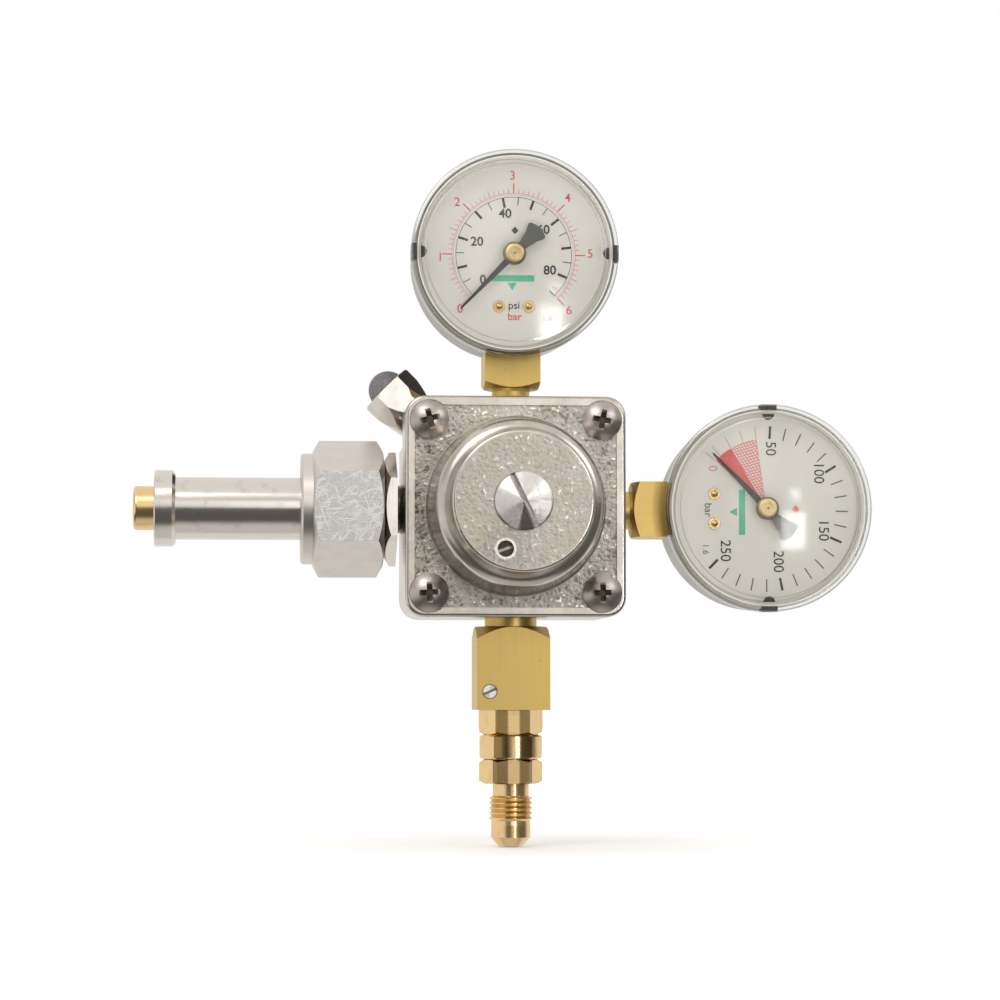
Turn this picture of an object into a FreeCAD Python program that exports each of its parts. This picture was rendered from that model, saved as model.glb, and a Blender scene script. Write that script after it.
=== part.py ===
import FreeCAD, Part
import math
import os

# A gas pressure reducing valve for a cylinder, with two pressure gauges. Millimetres throughout.
# +X runs from the cylinder connection to the right, +Y runs from the adjusting screw to the back
# and +Z is up. The origin is the centre of the sealing face that meets the cylinder valve.

vector = FreeCAD.Vector
origin = vector(0, 0, 0)
x_axis = vector(1, 0, 0)
y_axis = vector(0, 1, 0)
z_axis = vector(0, 0, 1)

# Clearances
running_gap = 0.05
loose_gap = 0.3
thread_gap = 0.08
touch_gap = 0.05

# Body: a square block, with its ports on the plane Y = 0
body_side = 55.2
body_front = -9.5
body_depth = 25.5
corner_round = 5.0
edge_round = 0.8
rim_wall = 3.3
clamp_width = 4.0
chamber_depth = 2.3
nozzle_radius = 5.2
nozzle_length = 3.6
high_chamber_radius = 4.0
rear_wall = 5.0
drill_radius = 1.5
supply_drill_radius = 2.0

# Connections: parallel pipe threads, drawn at their outside diameter
small_thread_radius = 4.864
small_port_depth = 9.0
large_thread_radius = 6.58
large_port_depth = 11.0
port_thread_spare = 1.0

# Bonnet and its screws
flange_thickness = 6.5
dome_margin = 5.1
dome_height = 22.0
dome_lean = 1.7
dome_shoulder_fall = 2.2
dome_shoulder_height = 11.0
dome_shoulder_rise = 3.5
crown_lean = 1.2
crown_bead = 0.6
bonnet_top_wall = 4.0
bonnet_side_wall = 3.2
bonnet_boss_wall = 3.2
bonnet_boss_drop = 3.0
border_width = 2.3
border_step = 0.45
screw_inset = 6.0
screw_radius = 2.5
screw_head_radius = 4.85
screw_head_height = 2.7
screw_head_edge = 0.7
screw_grip = 7.5
screw_recess_reach = 3.4
screw_recess_width = 1.4
screw_recess_depth = 2.1
screw_recess_turns = [15.0, -10.0, 3.0, 2.0]

# Adjusting screw, spring and diaphragm
adjuster_radius = 7.15
adjuster_rim = 1.0
adjuster_cone = 1.6
adjuster_edge = 0.3
adjuster_length = 10.4
adjuster_slot_width = 1.5
adjuster_slot_depth = 1.9
adjuster_slot_turn = -65.0
adjuster_nose_radius = 3.0
adjuster_nose_length = 1.6
button_radius = 12.0
button_thickness = 2.5
button_spigot_radius = 7.2
button_spigot = 1.5
main_wire_radius = 1.25
main_spring_radius = 9.0
main_spring_turns = 3.5
diaphragm_thickness = 1.0
plate_radius = 12.5
plate_thickness = 2.0
plate_stud_radius = 2.5
plate_washer_radius = 6.0
plate_washer_thickness = 0.9
vent_screw_radius = 2.0
vent_screw_x = -4.4
vent_screw_z = -11.7
vent_screw_sunk = 1.3
vent_screw_length = 2.8
vent_slot_width = 0.7
vent_slot_depth = 1.0
vent_slot_turn = 20.0

# Valve inside the body
orifice_radius = 1.3
seat_radius = 2.2
seat_height = 0.6
poppet_pin_radius = 0.8
poppet_head_radius = 3.3
poppet_head_length = 3.9
poppet_tail_radius = 1.4
poppet_tail_length = 2.6
seat_disc_radius = 2.8
seat_disc_thickness = 1.0
poppet_wire_radius = 0.35
poppet_spring_radius = 2.6
poppet_spring_turns = 5.0

# Cylinder connection
stem_length = 62.4
collar_radius = 9.65
collar_length = 5.3
collar_chamfer = 0.8
tube_radius = 7.875
tube_bore_radius = 3.0
nose_radius = 5.55
nose_length = 5.3
nose_round = 1.0
nose_shank_radius = 4.2
nose_shank_length = 7.0
nose_bore_radius = 1.6
filter_length = 6.0
filter_wall = 1.2
stub_length = 1.7
lock_nut_flats = 25.0
lock_nut_length = 3.0
union_nut_flats = 30.0
union_hex_length = 17.7
union_boss_radius = 14.0
union_boss_length = 3.0
union_bore_radius = 9.95
union_rear_wall = 5.0
slip_washer_thickness = 1.5

# Relief valve: on an axis 45 degrees up to the left, in the corner of the body
relief_depth_y = 7.0
relief_corner_cut = 8.53
relief_flats = 12.5
relief_length = 14.0
relief_taper_start = 4.0
relief_taper = 2.0
relief_port_depth = 8.0
relief_orifice_radius = 1.5
relief_seat_drop = 2.5
relief_bore_radius = 4.0
relief_poppet_length = 3.0
relief_stem_radius = 1.2
relief_stem_length = 5.0
relief_wire_radius = 0.4
relief_spring_radius = 2.7
relief_spring_turns = 6.0
relief_cap_radius = 4.9
relief_cap_height = 4.2
relief_cap_plug = 3.0

# Outlet
outlet_neck_length = 2.1
block_side = 18.4
block_length = 21.0
block_bore_radius = 3.0
block_screw_radius = 1.95
block_screw_x = -6.0
block_screw_drop = 16.4
block_screw_length = 3.6
block_screw_slot = 0.6
check_flats = 14.0
check_hex_length = 6.3
check_round_length = 6.0
check_round_radius = 8.0
check_thread_radius = 6.0
check_thread_length = 7.5
check_orifice_radius = 2.2
check_chamber_radius = 4.2
check_socket_radius = 5.5
check_socket_depth = 4.5
check_ball_radius = 2.7
check_wire_radius = 0.35
check_spring_radius = 2.4
check_spring_turns = 3.0
flare_flats = 14.0
flare_hex_length = 6.2
flare_joint = 0.1
flare_neck_radius = 4.65
flare_neck_length = 3.0
flare_thread_radius = 5.55
flare_thread_length = 7.4
flare_thread_pitch = 1.27
flare_thread_depth = 0.6
flare_land_radius = 5.0
flare_land_length = 3.0
flare_tip_radius = 3.15
flare_tip_length = 2.2
flare_bore_radius = 2.2

# Pressure gauges, each in its own frame: hub axis along Y, stem down, dial towards -Y
case_radius = 25.2
case_wall = 0.8
case_back = 10.0
case_front = -13.8
case_round = 2.0
plug_radius = 5.0
plug_height = 9.0
plug_flange = 1.2
lens_skirt_wall = 0.9
lens_skirt_length = 4.4
lens_edge = 1.0
lens_edge_round = 0.6
lens_rise = 2.7
lens_wall = 1.1
lens_notch_width = 4.2
lens_notch_land = 1.0
dial_front = -9.5
dial_thickness = 0.5
dial_radius = 23.2
dial_hole_radius = 1.7
dial_screw_x = 3.75
dial_screw_z = -13.2
dial_screw_head_radius = 1.55
dial_screw_head_height = 0.75
dial_screw_radius = 0.9
dial_screw_length = 3.5
dial_screw_step_height = 0.25
dial_screw_dome_radius = 0.95
socket_square = 14.0
socket_square_length = 8.2
socket_chamfer = 1.7
socket_neck_radius = 5.3
socket_neck_length = 3.0
socket_block_half = 5.5
socket_block_top = -11.9
socket_block_back = 5.5
socket_shoulder = -22.0
bourdon_radius = 17.0
bourdon_thickness = 2.0
bourdon_front = -1.0
bourdon_width = 6.0
bourdon_end_angle = -10.0
gear_module = 0.3
pinion_teeth = 12
sector_teeth = 72
sector_travel = 45.0
gear_thickness = 0.8
pinion_thickness = 1.4
gear_front = -2.4
pivot_angle = -35.0
tail_length = 4.0
arbor_radius = 0.9
pivot_pin_radius = 0.6
link_pin_radius = 0.45
link_thickness = 0.6
link_eye_radius = 1.05
link_waist = 0.7
plate_gauge = 1.0
movement_back = 1.0
movement_front = -6.0
movement_left = -5.2
movement_right = 13.6
movement_top = 4.6
pillar_radius = 0.9
pointer_length = 19.8
pointer_root_half = 0.9
pointer_tip_half = 0.2
pointer_thickness = 0.4
pointer_height = -11.3
pointer_tail = 9.4
pointer_tail_half = 2.8
pointer_tail_waist = 1.15
pointer_hub_radius = 2.9
pointer_collar_radius = 1.5
pointer_hub_front = -12.9
outlet_pointer_angle = 226.0
cylinder_pointer_angle = 224.5

# Places worked out from the sizes above
body_half = body_side / 2
body_centre_x = stem_length + body_half
body_back = body_front + body_depth
diaphragm_radius = body_half - rim_wall - 0.2
chamber_radius = diaphragm_radius - clamp_width
recess_floor = body_front + diaphragm_thickness
chamber_floor = recess_floor + chamber_depth
nozzle_back = chamber_floor + nozzle_length
high_chamber_floor = body_back - rear_wall
gauge_drill_z = chamber_radius - 4.5
outlet_drill_z = 6.0 - chamber_radius
relief_drill = chamber_radius - 4.0
flange_front = body_front - flange_thickness
bonnet_front = flange_front - dome_height
bonnet_ceiling = bonnet_front + bonnet_top_wall
boss_back = bonnet_ceiling + bonnet_boss_drop
dome_radius = body_half - dome_margin
shoulder_radius = dome_radius - dome_lean
crown_base_radius = shoulder_radius - dome_shoulder_fall
crown_radius = crown_base_radius - crown_lean
cavity_radius = crown_base_radius - bonnet_side_wall
adjuster_front = bonnet_front - adjuster_rim
adjuster_back = adjuster_front + adjuster_length
button_front = adjuster_back + adjuster_nose_length - 1.0
button_back = button_front + button_thickness
plate_front = body_front - plate_thickness
washer_back = recess_floor + plate_washer_thickness
poppet_front = washer_back + touch_gap
poppet_head_front = nozzle_back + seat_height + touch_gap
poppet_head_back = poppet_head_front + poppet_head_length
union_rear = stem_length - stub_length - lock_nut_length - loose_gap
union_hex_front = union_rear - union_hex_length
union_front = union_hex_front - union_boss_length
union_floor = union_rear - union_rear_wall
lock_nut_front = stem_length - stub_length - lock_nut_length
nose_end = -nose_length
relief_seat = body_half * math.sqrt(2) - relief_corner_cut
relief_end = relief_seat + relief_length
relief_corners = relief_flats / math.cos(math.radians(30))
relief_cut_front = relief_depth_y - relief_corners / 2 - 0.7
block_top = -body_half - outlet_neck_length
block_bottom = block_top - block_length
check_top = block_bottom
check_round_top = check_top - check_hex_length
check_bottom = check_round_top - check_round_length
check_seat = check_top - 1.2
flare_top = check_bottom - flare_joint
flare_neck_top = flare_top - flare_hex_length
flare_thread_top = flare_neck_top - flare_neck_length
flare_land_top = flare_thread_top - flare_thread_length
flare_cone_top = flare_land_top - flare_land_length
flare_end = flare_cone_top - flare_tip_length
gauge_hub_reach = body_half + socket_neck_length + socket_square_length + case_radius
socket_face = -case_radius - socket_square_length
body_face_from_hub = socket_face - socket_neck_length
pinion_pitch_radius = gear_module * pinion_teeth / 2
sector_pitch_radius = gear_module * sector_teeth / 2
gear_centres = pinion_pitch_radius + sector_pitch_radius
tip_angle = bourdon_end_angle - 3.0


def turned(profile, axis=z_axis, centre=origin):
    # A round solid from (along, radius) points. Four numbers are an arc: a middle point and an end.
    side = z_axis if abs(axis.x) > 0.9 else x_axis
    start = centre + axis * profile[0][0] + side * profile[0][1]
    here = start
    edges = []
    for step in profile[1:] + profile[:1]:
        end = centre + axis * step[-2] + side * step[-1]
        if len(step) == 4:
            middle = centre + axis * step[0] + side * step[1]
            edges.append(Part.Arc(here, middle, end).toShape())
        elif (end - here).Length > 1e-6:
            edges.append(Part.LineSegment(here, end).toShape())
        here = end
    return upright(Part.Face(Part.Wire(edges)).revolve(centre, axis, 360))


def dome_middle(rim_along, rim_radius, crown_along):
    # The middle of a ball-shaped arc from a rim to the crown on the axis.
    rise = crown_along - rim_along
    ball = (rim_radius ** 2 + rise ** 2) / 2 / abs(rise)
    half_opening = math.atan2(rim_radius, ball - abs(rise)) / 2
    up = math.copysign(1, rise)
    return (crown_along - up * ball + up * ball * math.cos(half_opening), ball * math.sin(half_opening))


def upright(solid):
    # Turns a solid that was built inside out.
    if solid.Volume < 0:
        solid.reverse()
    return solid


def rod(radius, start, end, axis=z_axis, centre=origin):
    low = min(start, end)
    return Part.makeCylinder(radius, abs(end - start), centre + axis * low, axis)


def ring(outer, inner, start, end, axis=z_axis, centre=origin):
    return rod(outer, start, end, axis, centre).cut(rod(inner, start, end, axis, centre))


def box(x_range, y_range, z_range):
    size = [abs(r[1] - r[0]) for r in (x_range, y_range, z_range)]
    low = vector(min(x_range), min(y_range), min(z_range))
    return Part.makeBox(size[0], size[1], size[2], low)


def turn(shape, axis, degrees, centre=origin):
    copy = shape.copy()
    copy.rotate(centre, axis, degrees)
    return copy


def move(shape, x, y, z):
    copy = shape.copy()
    copy.translate(vector(x, y, z))
    return copy


def plate(points, front, back):
    # A flat piece: its outline is (x, z) points and it runs from front to back along Y.
    outline = [vector(x, front, z) for x, z in points]
    face = Part.Face(Part.makePolygon(outline + outline[:1]))
    return upright(face.extrude(vector(0, back - front, 0)))


def polar(radius, degrees, centre=(0, 0)):
    angle = math.radians(degrees)
    return (centre[0] + radius * math.cos(angle), centre[1] + radius * math.sin(angle))


def hexagon(flats, start, end, axis=z_axis, centre=origin):
    # Two of the six flats face the front and the back on every axis used here.
    corner = flats / 2 / math.cos(math.radians(30))
    side = z_axis if abs(axis.x) > 0.9 else x_axis
    across = axis.cross(side)
    points = []
    for k in range(6):
        angle = math.radians(60 * k)
        reach = side * math.cos(angle) + across * math.sin(angle)
        points.append(centre + axis * start + reach * corner)
    face = Part.Face(Part.makePolygon(points + points[:1]))
    return upright(face.extrude(axis * (end - start)))


def chamfered_hexagon(flats, start, end, low=True, high=True, axis=z_axis, centre=origin):
    # A turned 30 degree chamfer leaves the curved edges of a machined hexagon.
    face_radius = flats / 2 * 0.97
    barrel_radius = flats / 2 / math.cos(math.radians(30)) + 0.1
    depth = (barrel_radius - face_radius) * math.tan(math.radians(30))
    profile = [(start, 0)]
    profile += [(start, face_radius), (start + depth, barrel_radius)] if low else [(start, barrel_radius)]
    profile += [(end - depth, barrel_radius), (end, face_radius)] if high else [(end, barrel_radius)]
    profile += [(end, 0)]
    return hexagon(flats, start, end, axis, centre).common(turned(profile, axis, centre))


def coil(mean_radius, wire_radius, start, end, turns, axis=z_axis, centre=origin):
    # A spring made of half rings. Each tilts the other way to the last, so they join smoothly.
    halves = int(round(turns * 2))
    climb = (end - start - 2 * wire_radius) / halves
    reach = mean_radius
    height = start + wire_radius
    spring = []
    for k in range(halves):
        here = vector(reach, 0, height)
        there = vector(-reach, 0, height + climb)
        section = Part.Face(Part.Wire(Part.makeCircle(wire_radius, here, y_axis)))
        tilt = (there - here).cross(y_axis) * (-1 if k % 2 == 0 else 1)
        side = 1 if tilt.z > 0 else -1
        spring.append(upright(section.revolve((here + there) * 0.5, tilt * side, 180)))
        reach = -reach
        height += climb
    whole = spring[0].fuse(spring[1:])
    whole.Placement = FreeCAD.Placement(centre, FreeCAD.Rotation(z_axis, axis))
    return whole


def rounded_square(half, radius, front, back):
    block = box((-half, half), (front, back), (-half, half))
    upright_edges = [e for e in block.Edges if abs(e.tangentAt(e.FirstParameter).y) > 0.9]
    block = block.makeFillet(radius, upright_edges)
    return move(block, body_centre_x, 0, 0)


def at_body(shape):
    return move(shape, body_centre_x, 0, 0)


def on_relief_axis(shape):
    return move(turn(shape, y_axis, -45), body_centre_x, relief_depth_y, 0)


def screw_places():
    reach = body_half - screw_inset
    return [(-reach, reach), (reach, reach), (-reach, -reach), (reach, -reach)]


# Body and bonnet

def body():
    block = rounded_square(body_half, corner_round, body_front, body_back)
    back_edges = [e for e in block.Edges if abs(e.CenterOfMass.y - body_back) < 1e-3]
    block = block.makeFillet(edge_round, back_edges)
    far = body_half * 2
    corner = box((-far, far), (relief_cut_front - relief_depth_y, far), (relief_seat, far))
    cuts = [on_relief_axis(corner)]
    cuts.append(at_body(rod(diaphragm_radius + 0.2, body_front - 1, recess_floor, y_axis)))
    cuts.append(at_body(rod(chamber_radius, recess_floor - 1, chamber_floor, y_axis)))
    cuts.append(at_body(rod(nozzle_radius, chamber_floor - 1, nozzle_back, y_axis)))
    cuts.append(at_body(rod(high_chamber_radius, nozzle_back - 1, high_chamber_floor, y_axis)))
    cuts += port_cuts()
    for x, z in screw_places():
        tip = flange_front + flange_thickness + screw_grip + 0.4
        cuts.append(at_body(rod(screw_radius, body_front - 1, tip, y_axis, vector(x, 0, z))))
    return block.cut(cuts)


def port_cuts():
    inlet_end = large_port_depth - body_half
    gauge_end = body_half - small_port_depth
    outlet_end = large_port_depth - body_half
    cuts = [
        at_body(rod(large_thread_radius, -body_half - 1, inlet_end, x_axis)),
        at_body(rod(supply_drill_radius, inlet_end - 1, 0, x_axis)),
        at_body(rod(small_thread_radius, gauge_end, body_half + 1, x_axis)),
        at_body(rod(supply_drill_radius, 0, gauge_end + 1, x_axis)),
        at_body(rod(small_thread_radius, gauge_end, body_half + 1)),
        at_body(rod(drill_radius, gauge_drill_z - drill_radius, gauge_end + 1)),
        at_body(rod(drill_radius, chamber_floor - 1, drill_radius, y_axis, vector(0, 0, gauge_drill_z))),
        at_body(rod(large_thread_radius, -body_half - 1, outlet_end)),
        at_body(rod(supply_drill_radius, outlet_end - 1, outlet_drill_z + supply_drill_radius)),
        at_body(rod(supply_drill_radius, chamber_floor - 1, supply_drill_radius, y_axis,
                    vector(0, 0, outlet_drill_z))),
        on_relief_axis(rod(small_thread_radius, relief_seat - relief_port_depth, relief_seat + 1)),
        on_relief_axis(rod(drill_radius, relief_drill - drill_radius, relief_seat - relief_port_depth + 1)),
    ]
    reach = relief_drill / math.sqrt(2)
    link = rod(drill_radius, chamber_floor - 1, relief_depth_y + drill_radius, y_axis,
               vector(-reach, 0, reach))
    cuts.append(at_body(link))
    return cuts


def bonnet():
    flange = rounded_square(body_half, corner_round, flange_front, body_front)
    front_edges = [e for e in flange.Edges if abs(e.CenterOfMass.y - flange_front) < 1e-3]
    flange = flange.makeFillet(edge_round, front_edges)
    inside = body_half - border_width
    sunk = rounded_square(inside, corner_round - border_width, flange_front - 1, flange_front + border_step)
    flange = flange.cut(sunk)
    shoulder = flange_front - dome_shoulder_height
    crown_base = shoulder - dome_shoulder_rise
    dome = at_body(turned([
        (body_front - 2, 0),
        (body_front - 2, dome_radius),
        (flange_front - 0.4, dome_radius),
        (flange_front - 1.0, dome_radius - 0.4),
        (shoulder, shoulder_radius),
        (shoulder - dome_shoulder_rise * 0.75, shoulder_radius - dome_shoulder_fall * 0.35,
         crown_base, crown_base_radius),
        (bonnet_front + crown_bead, crown_radius),
        (bonnet_front + crown_bead * 0.3, crown_radius - crown_bead * 0.3,
         bonnet_front, crown_radius - crown_bead),
        (bonnet_front, 0),
    ], y_axis))
    boss_radius = adjuster_radius + bonnet_boss_wall
    hollow = at_body(turned([
        (body_front + 1, 0),
        (body_front + 1, chamber_radius),
        (body_front - 1.5, chamber_radius),
        (body_front - 4.0, cavity_radius),
        (bonnet_ceiling, cavity_radius),
        (bonnet_ceiling, boss_radius),
        (boss_back, boss_radius),
        (boss_back, 0),
    ], y_axis))
    shell = flange.fuse(dome).cut(hollow)
    shell = shell.cut(at_body(rod(adjuster_radius + thread_gap, bonnet_front - 1, boss_back + 1, y_axis)))
    vent = rod(vent_screw_radius, bonnet_front - 1, bonnet_ceiling + 1, y_axis,
               vector(vent_screw_x, 0, vent_screw_z))
    shell = shell.cut(at_body(vent))
    holes = []
    for x, z in screw_places():
        centre = vector(x, 0, z)
        holes.append(at_body(rod(screw_radius + 0.2, flange_front - 1, body_front + 1, y_axis, centre)))
        seat = flange_front + border_step
        holes.append(at_body(rod(screw_head_radius + 0.15, flange_front - 1, seat, y_axis, centre)))
    return shell.cut(holes).removeSplitter()


def flange_screw(turn_angle):
    seat = flange_front + border_step
    crown = seat - screw_head_height
    tip = body_front + screw_grip
    screw = turned([
        (tip, 0),
        (tip, screw_radius - 0.5),
        (tip - 0.5, screw_radius),
        (seat, screw_radius),
        (seat, screw_head_radius),
        (seat - screw_head_edge, screw_head_radius),
        (*dome_middle(seat - screw_head_edge, screw_head_radius, crown), crown, 0),
    ], y_axis)
    half = screw_recess_width / 2
    back = crown + screw_recess_depth
    reach = screw_recess_reach
    cross = box((-reach, reach), (crown - 1, back), (-half, half))
    cross = cross.fuse(box((-half, half), (crown - 1, back), (-reach, reach)))
    funnel = turned([(crown - 1, 0), (crown - 1, reach + 0.9), (back, half + 0.15), (back, 0)], y_axis)
    recess = turn(cross.common(funnel), y_axis, -turn_angle)
    return screw.cut(recess)


def flange_screws():
    screws = []
    for (x, z), turn_angle in zip(screw_places(), screw_recess_turns):
        screws.append(at_body(move(flange_screw(turn_angle), x, 0, z)))
    return Part.makeCompound(screws)


# Adjustment: screw, spring and diaphragm

def adjusting_screw():
    tip = adjuster_back + adjuster_nose_length
    screw = turned([
        (adjuster_front - adjuster_cone, 0),
        (adjuster_front, adjuster_radius - adjuster_edge),
        (adjuster_front + adjuster_edge, adjuster_radius),
        (adjuster_back - 0.8, adjuster_radius),
        (adjuster_back, adjuster_radius - 0.8),
        (adjuster_back, adjuster_nose_radius),
        (tip - 0.6, adjuster_nose_radius),
        (tip, adjuster_nose_radius - 0.6),
        (tip, 0),
    ], y_axis)
    half = adjuster_slot_width / 2
    floor = adjuster_front + adjuster_slot_depth
    long = adjuster_radius + 1
    slot = box((-long, long), (adjuster_front - 2, floor), (-half, half))
    return at_body(screw.cut(turn(slot, y_axis, -adjuster_slot_turn)))


def spring_button():
    tip = adjuster_back + adjuster_nose_length
    pocket = adjuster_nose_radius + loose_gap
    button = turned([
        (button_front, pocket),
        (button_front, button_radius - 1.0),
        (button_front + 1.0, button_radius),
        (button_back, button_radius),
        (button_back, button_spigot_radius),
        (button_back + button_spigot, button_spigot_radius - 0.5),
        (button_back + button_spigot, 0),
        (tip + touch_gap, 0),
        (tip + touch_gap, pocket),
    ], y_axis)
    return at_body(button)


def main_spring():
    start = button_back + touch_gap
    end = plate_front - touch_gap
    return at_body(coil(main_spring_radius, main_wire_radius, start, end, main_spring_turns, y_axis))


def diaphragm():
    return at_body(ring(diaphragm_radius, plate_stud_radius + touch_gap, body_front, recess_floor, y_axis))


def diaphragm_plate():
    return at_body(turned([
        (plate_front, 0),
        (plate_front, plate_radius - 0.5),
        (plate_front + 0.5, plate_radius),
        (body_front - touch_gap, plate_radius),
        (body_front - touch_gap, plate_stud_radius),
        (recess_floor + touch_gap, plate_stud_radius),
        (recess_floor + touch_gap, plate_washer_radius),
        (washer_back, plate_washer_radius),
        (washer_back, 0),
    ], y_axis))


def vent_screw():
    front = bonnet_front + vent_screw_sunk
    back = front + vent_screw_length
    screw = rod(vent_screw_radius - running_gap, front, back, y_axis)
    half = vent_slot_width / 2
    slot = box((-vent_screw_radius, vent_screw_radius), (front - 1, front + vent_slot_depth), (-half, half))
    screw = screw.cut(turn(slot, y_axis, -vent_slot_turn))
    return at_body(move(screw, vent_screw_x, 0, vent_screw_z))


# Valve

def seat_nozzle():
    return at_body(turned([
        (chamber_floor, orifice_radius),
        (chamber_floor, nozzle_radius),
        (nozzle_back, nozzle_radius),
        (nozzle_back, seat_radius),
        (nozzle_back + seat_height, seat_radius - 0.4),
        (nozzle_back + seat_height, orifice_radius),
    ], y_axis))


def valve_poppet():
    disc_back = poppet_head_front + seat_disc_thickness
    return at_body(turned([
        (poppet_front, 0),
        (poppet_front, poppet_pin_radius),
        (disc_back, poppet_pin_radius),
        (disc_back, seat_disc_radius),
        (poppet_head_front, seat_disc_radius),
        (poppet_head_front, poppet_head_radius),
        (poppet_head_back, poppet_head_radius),
        (poppet_head_back, poppet_tail_radius),
        (poppet_head_back + poppet_tail_length, poppet_tail_radius),
        (poppet_head_back + poppet_tail_length, 0),
    ], y_axis))


def seat_disc():
    disc_back = poppet_head_front + seat_disc_thickness
    return at_body(ring(seat_disc_radius, poppet_pin_radius, poppet_head_front, disc_back, y_axis))


def poppet_spring():
    start = poppet_head_back + touch_gap
    end = high_chamber_floor - touch_gap
    return at_body(coil(poppet_spring_radius, poppet_wire_radius, start, end, poppet_spring_turns, y_axis))


# Cylinder connection

def inlet_stem():
    end = stem_length + large_port_depth - port_thread_spare
    groove = 0.6
    stem = turned([
        (0, nose_shank_radius),
        (0, collar_radius - 0.3),
        (0.3, collar_radius),
        (collar_length - collar_chamfer, collar_radius),
        (collar_length, collar_radius - collar_chamfer),
        (collar_length, tube_radius),
        (lock_nut_front - 0.4, tube_radius),
        (lock_nut_front, tube_radius - 0.4),
        (lock_nut_front, large_thread_radius),
        (stem_length - stub_length, large_thread_radius),
        (stem_length - stub_length / 2, large_thread_radius - groove),
        (stem_length, large_thread_radius),
        (end - 0.8, large_thread_radius),
        (end, large_thread_radius - 0.8),
        (end, tube_bore_radius),
        (nose_shank_length, tube_bore_radius),
        (nose_shank_length, nose_shank_radius),
    ], x_axis)
    return stem


def inlet_nose():
    return turned([
        (nose_end, nose_bore_radius),
        (nose_end, nose_radius - nose_round),
        (nose_end + nose_round * 0.293, nose_radius - nose_round * 0.293,
         nose_end + nose_round, nose_radius),
        (0, nose_radius),
        (0, nose_shank_radius),
        (nose_shank_length, nose_shank_radius),
        (nose_shank_length, nose_bore_radius),
    ], x_axis)


def inlet_filter():
    start = nose_shank_length
    end = start + filter_length
    return turned([
        (start, tube_bore_radius - filter_wall),
        (start, tube_bore_radius),
        (start + filter_wall, tube_bore_radius),
        (end, filter_wall + 0.6),
        (end, 0),
        (end - filter_wall, 0),
    ], x_axis)


def lock_nut():
    back = lock_nut_front + lock_nut_length
    nut = chamfered_hexagon(lock_nut_flats, lock_nut_front, back, high=False, axis=x_axis)
    return nut.cut(rod(large_thread_radius, lock_nut_front - 1, stem_length, x_axis))


def union_nut():
    nut = chamfered_hexagon(union_nut_flats, union_hex_front, union_rear, axis=x_axis)
    boss = turned([
        (union_front, 0),
        (union_front, union_boss_radius - 0.5),
        (union_front + 0.5, union_boss_radius),
        (union_hex_front + 0.5, union_boss_radius),
        (union_hex_front + 0.5, 0),
    ], x_axis)
    hollow = turned([
        (union_front - 1, 0),
        (union_front - 1, union_bore_radius + 1.8),
        (union_front + 0.8, union_bore_radius),
        (union_floor, union_bore_radius),
        (union_floor, tube_radius + loose_gap),
        (union_rear + 1, tube_radius + loose_gap),
        (union_rear + 1, 0),
    ], x_axis)
    return nut.fuse(boss).cut(hollow).removeSplitter()


def slip_washer():
    back = union_floor - touch_gap
    front = back - slip_washer_thickness
    return ring(union_bore_radius - loose_gap, tube_radius + loose_gap, front, back, x_axis)


# Relief valve, drawn upright and then tilted into the corner of the body

def relief_body():
    neck_end = relief_seat - relief_port_depth + port_thread_spare
    seat = relief_seat - relief_seat_drop
    half = relief_corners / 2
    barrel = turned([
        (relief_seat, 0),
        (relief_seat, half - relief_taper),
        (relief_end - relief_taper_start, half),
        (relief_end - 0.5, half + 0.1),
        (relief_end, half - 0.5),
        (relief_end, 0),
    ])
    shell = hexagon(relief_flats, relief_seat, relief_end).common(barrel)
    shell = shell.fuse(rod(small_thread_radius, neck_end, relief_seat))
    shell = shell.cut(rod(relief_orifice_radius, neck_end - 1, seat))
    shell = shell.cut(rod(relief_bore_radius, seat, relief_end + 1))
    return on_relief_axis(shell.removeSplitter())


def relief_poppet():
    seat = relief_seat - relief_seat_drop + touch_gap
    head = seat + relief_poppet_length
    return on_relief_axis(turned([
        (seat, 0),
        (seat, relief_bore_radius - loose_gap),
        (head, relief_bore_radius - loose_gap),
        (head, relief_stem_radius),
        (head + relief_stem_length, relief_stem_radius),
        (head + relief_stem_length, 0),
    ]))


def relief_spring():
    start = relief_seat - relief_seat_drop + relief_poppet_length + 2 * touch_gap
    end = relief_end - relief_cap_plug - touch_gap
    return on_relief_axis(coil(relief_spring_radius, relief_wire_radius, start, end, relief_spring_turns))


def relief_cap():
    plug = relief_end - relief_cap_plug
    crown = relief_end + relief_cap_height
    return on_relief_axis(turned([
        (plug, 0),
        (plug, relief_bore_radius),
        (relief_end, relief_bore_radius),
        (relief_end, relief_cap_radius),
        (*dome_middle(relief_end, relief_cap_radius, crown), crown, 0),
    ]))


# Outlet

def outlet_block():
    half = block_side / 2
    block = box((-half, half), (-half, half), (block_bottom, block_top))
    corner = half * math.sqrt(2)
    fall = (corner - half) * math.tan(math.radians(40))
    barrel = turned([
        (block_bottom, 0),
        (block_bottom, corner + 0.1),
        (block_top - fall, corner + 0.1),
        (block_top, half - 0.2),
        (block_top, 0),
    ])
    neck_top = large_port_depth - port_thread_spare - body_half
    neck = turned([
        (block_top - 1, 0),
        (block_top - 1, large_thread_radius),
        (neck_top - 0.8, large_thread_radius),
        (neck_top, large_thread_radius - 0.8),
        (neck_top, 0),
    ])
    shape = block.common(barrel).fuse(neck)
    shape = shape.cut(rod(block_bore_radius, block_bottom - 1, neck_top + 1))
    shape = shape.cut(rod(check_thread_radius, block_bottom - 1, block_bottom + check_thread_length))
    hole = rod(block_screw_radius, -half - 1, -half + block_screw_length, y_axis, block_screw_centre())
    return at_body(shape.cut(hole).removeSplitter())


def block_screw_centre():
    return vector(block_screw_x, 0, block_top - block_screw_drop)


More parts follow.
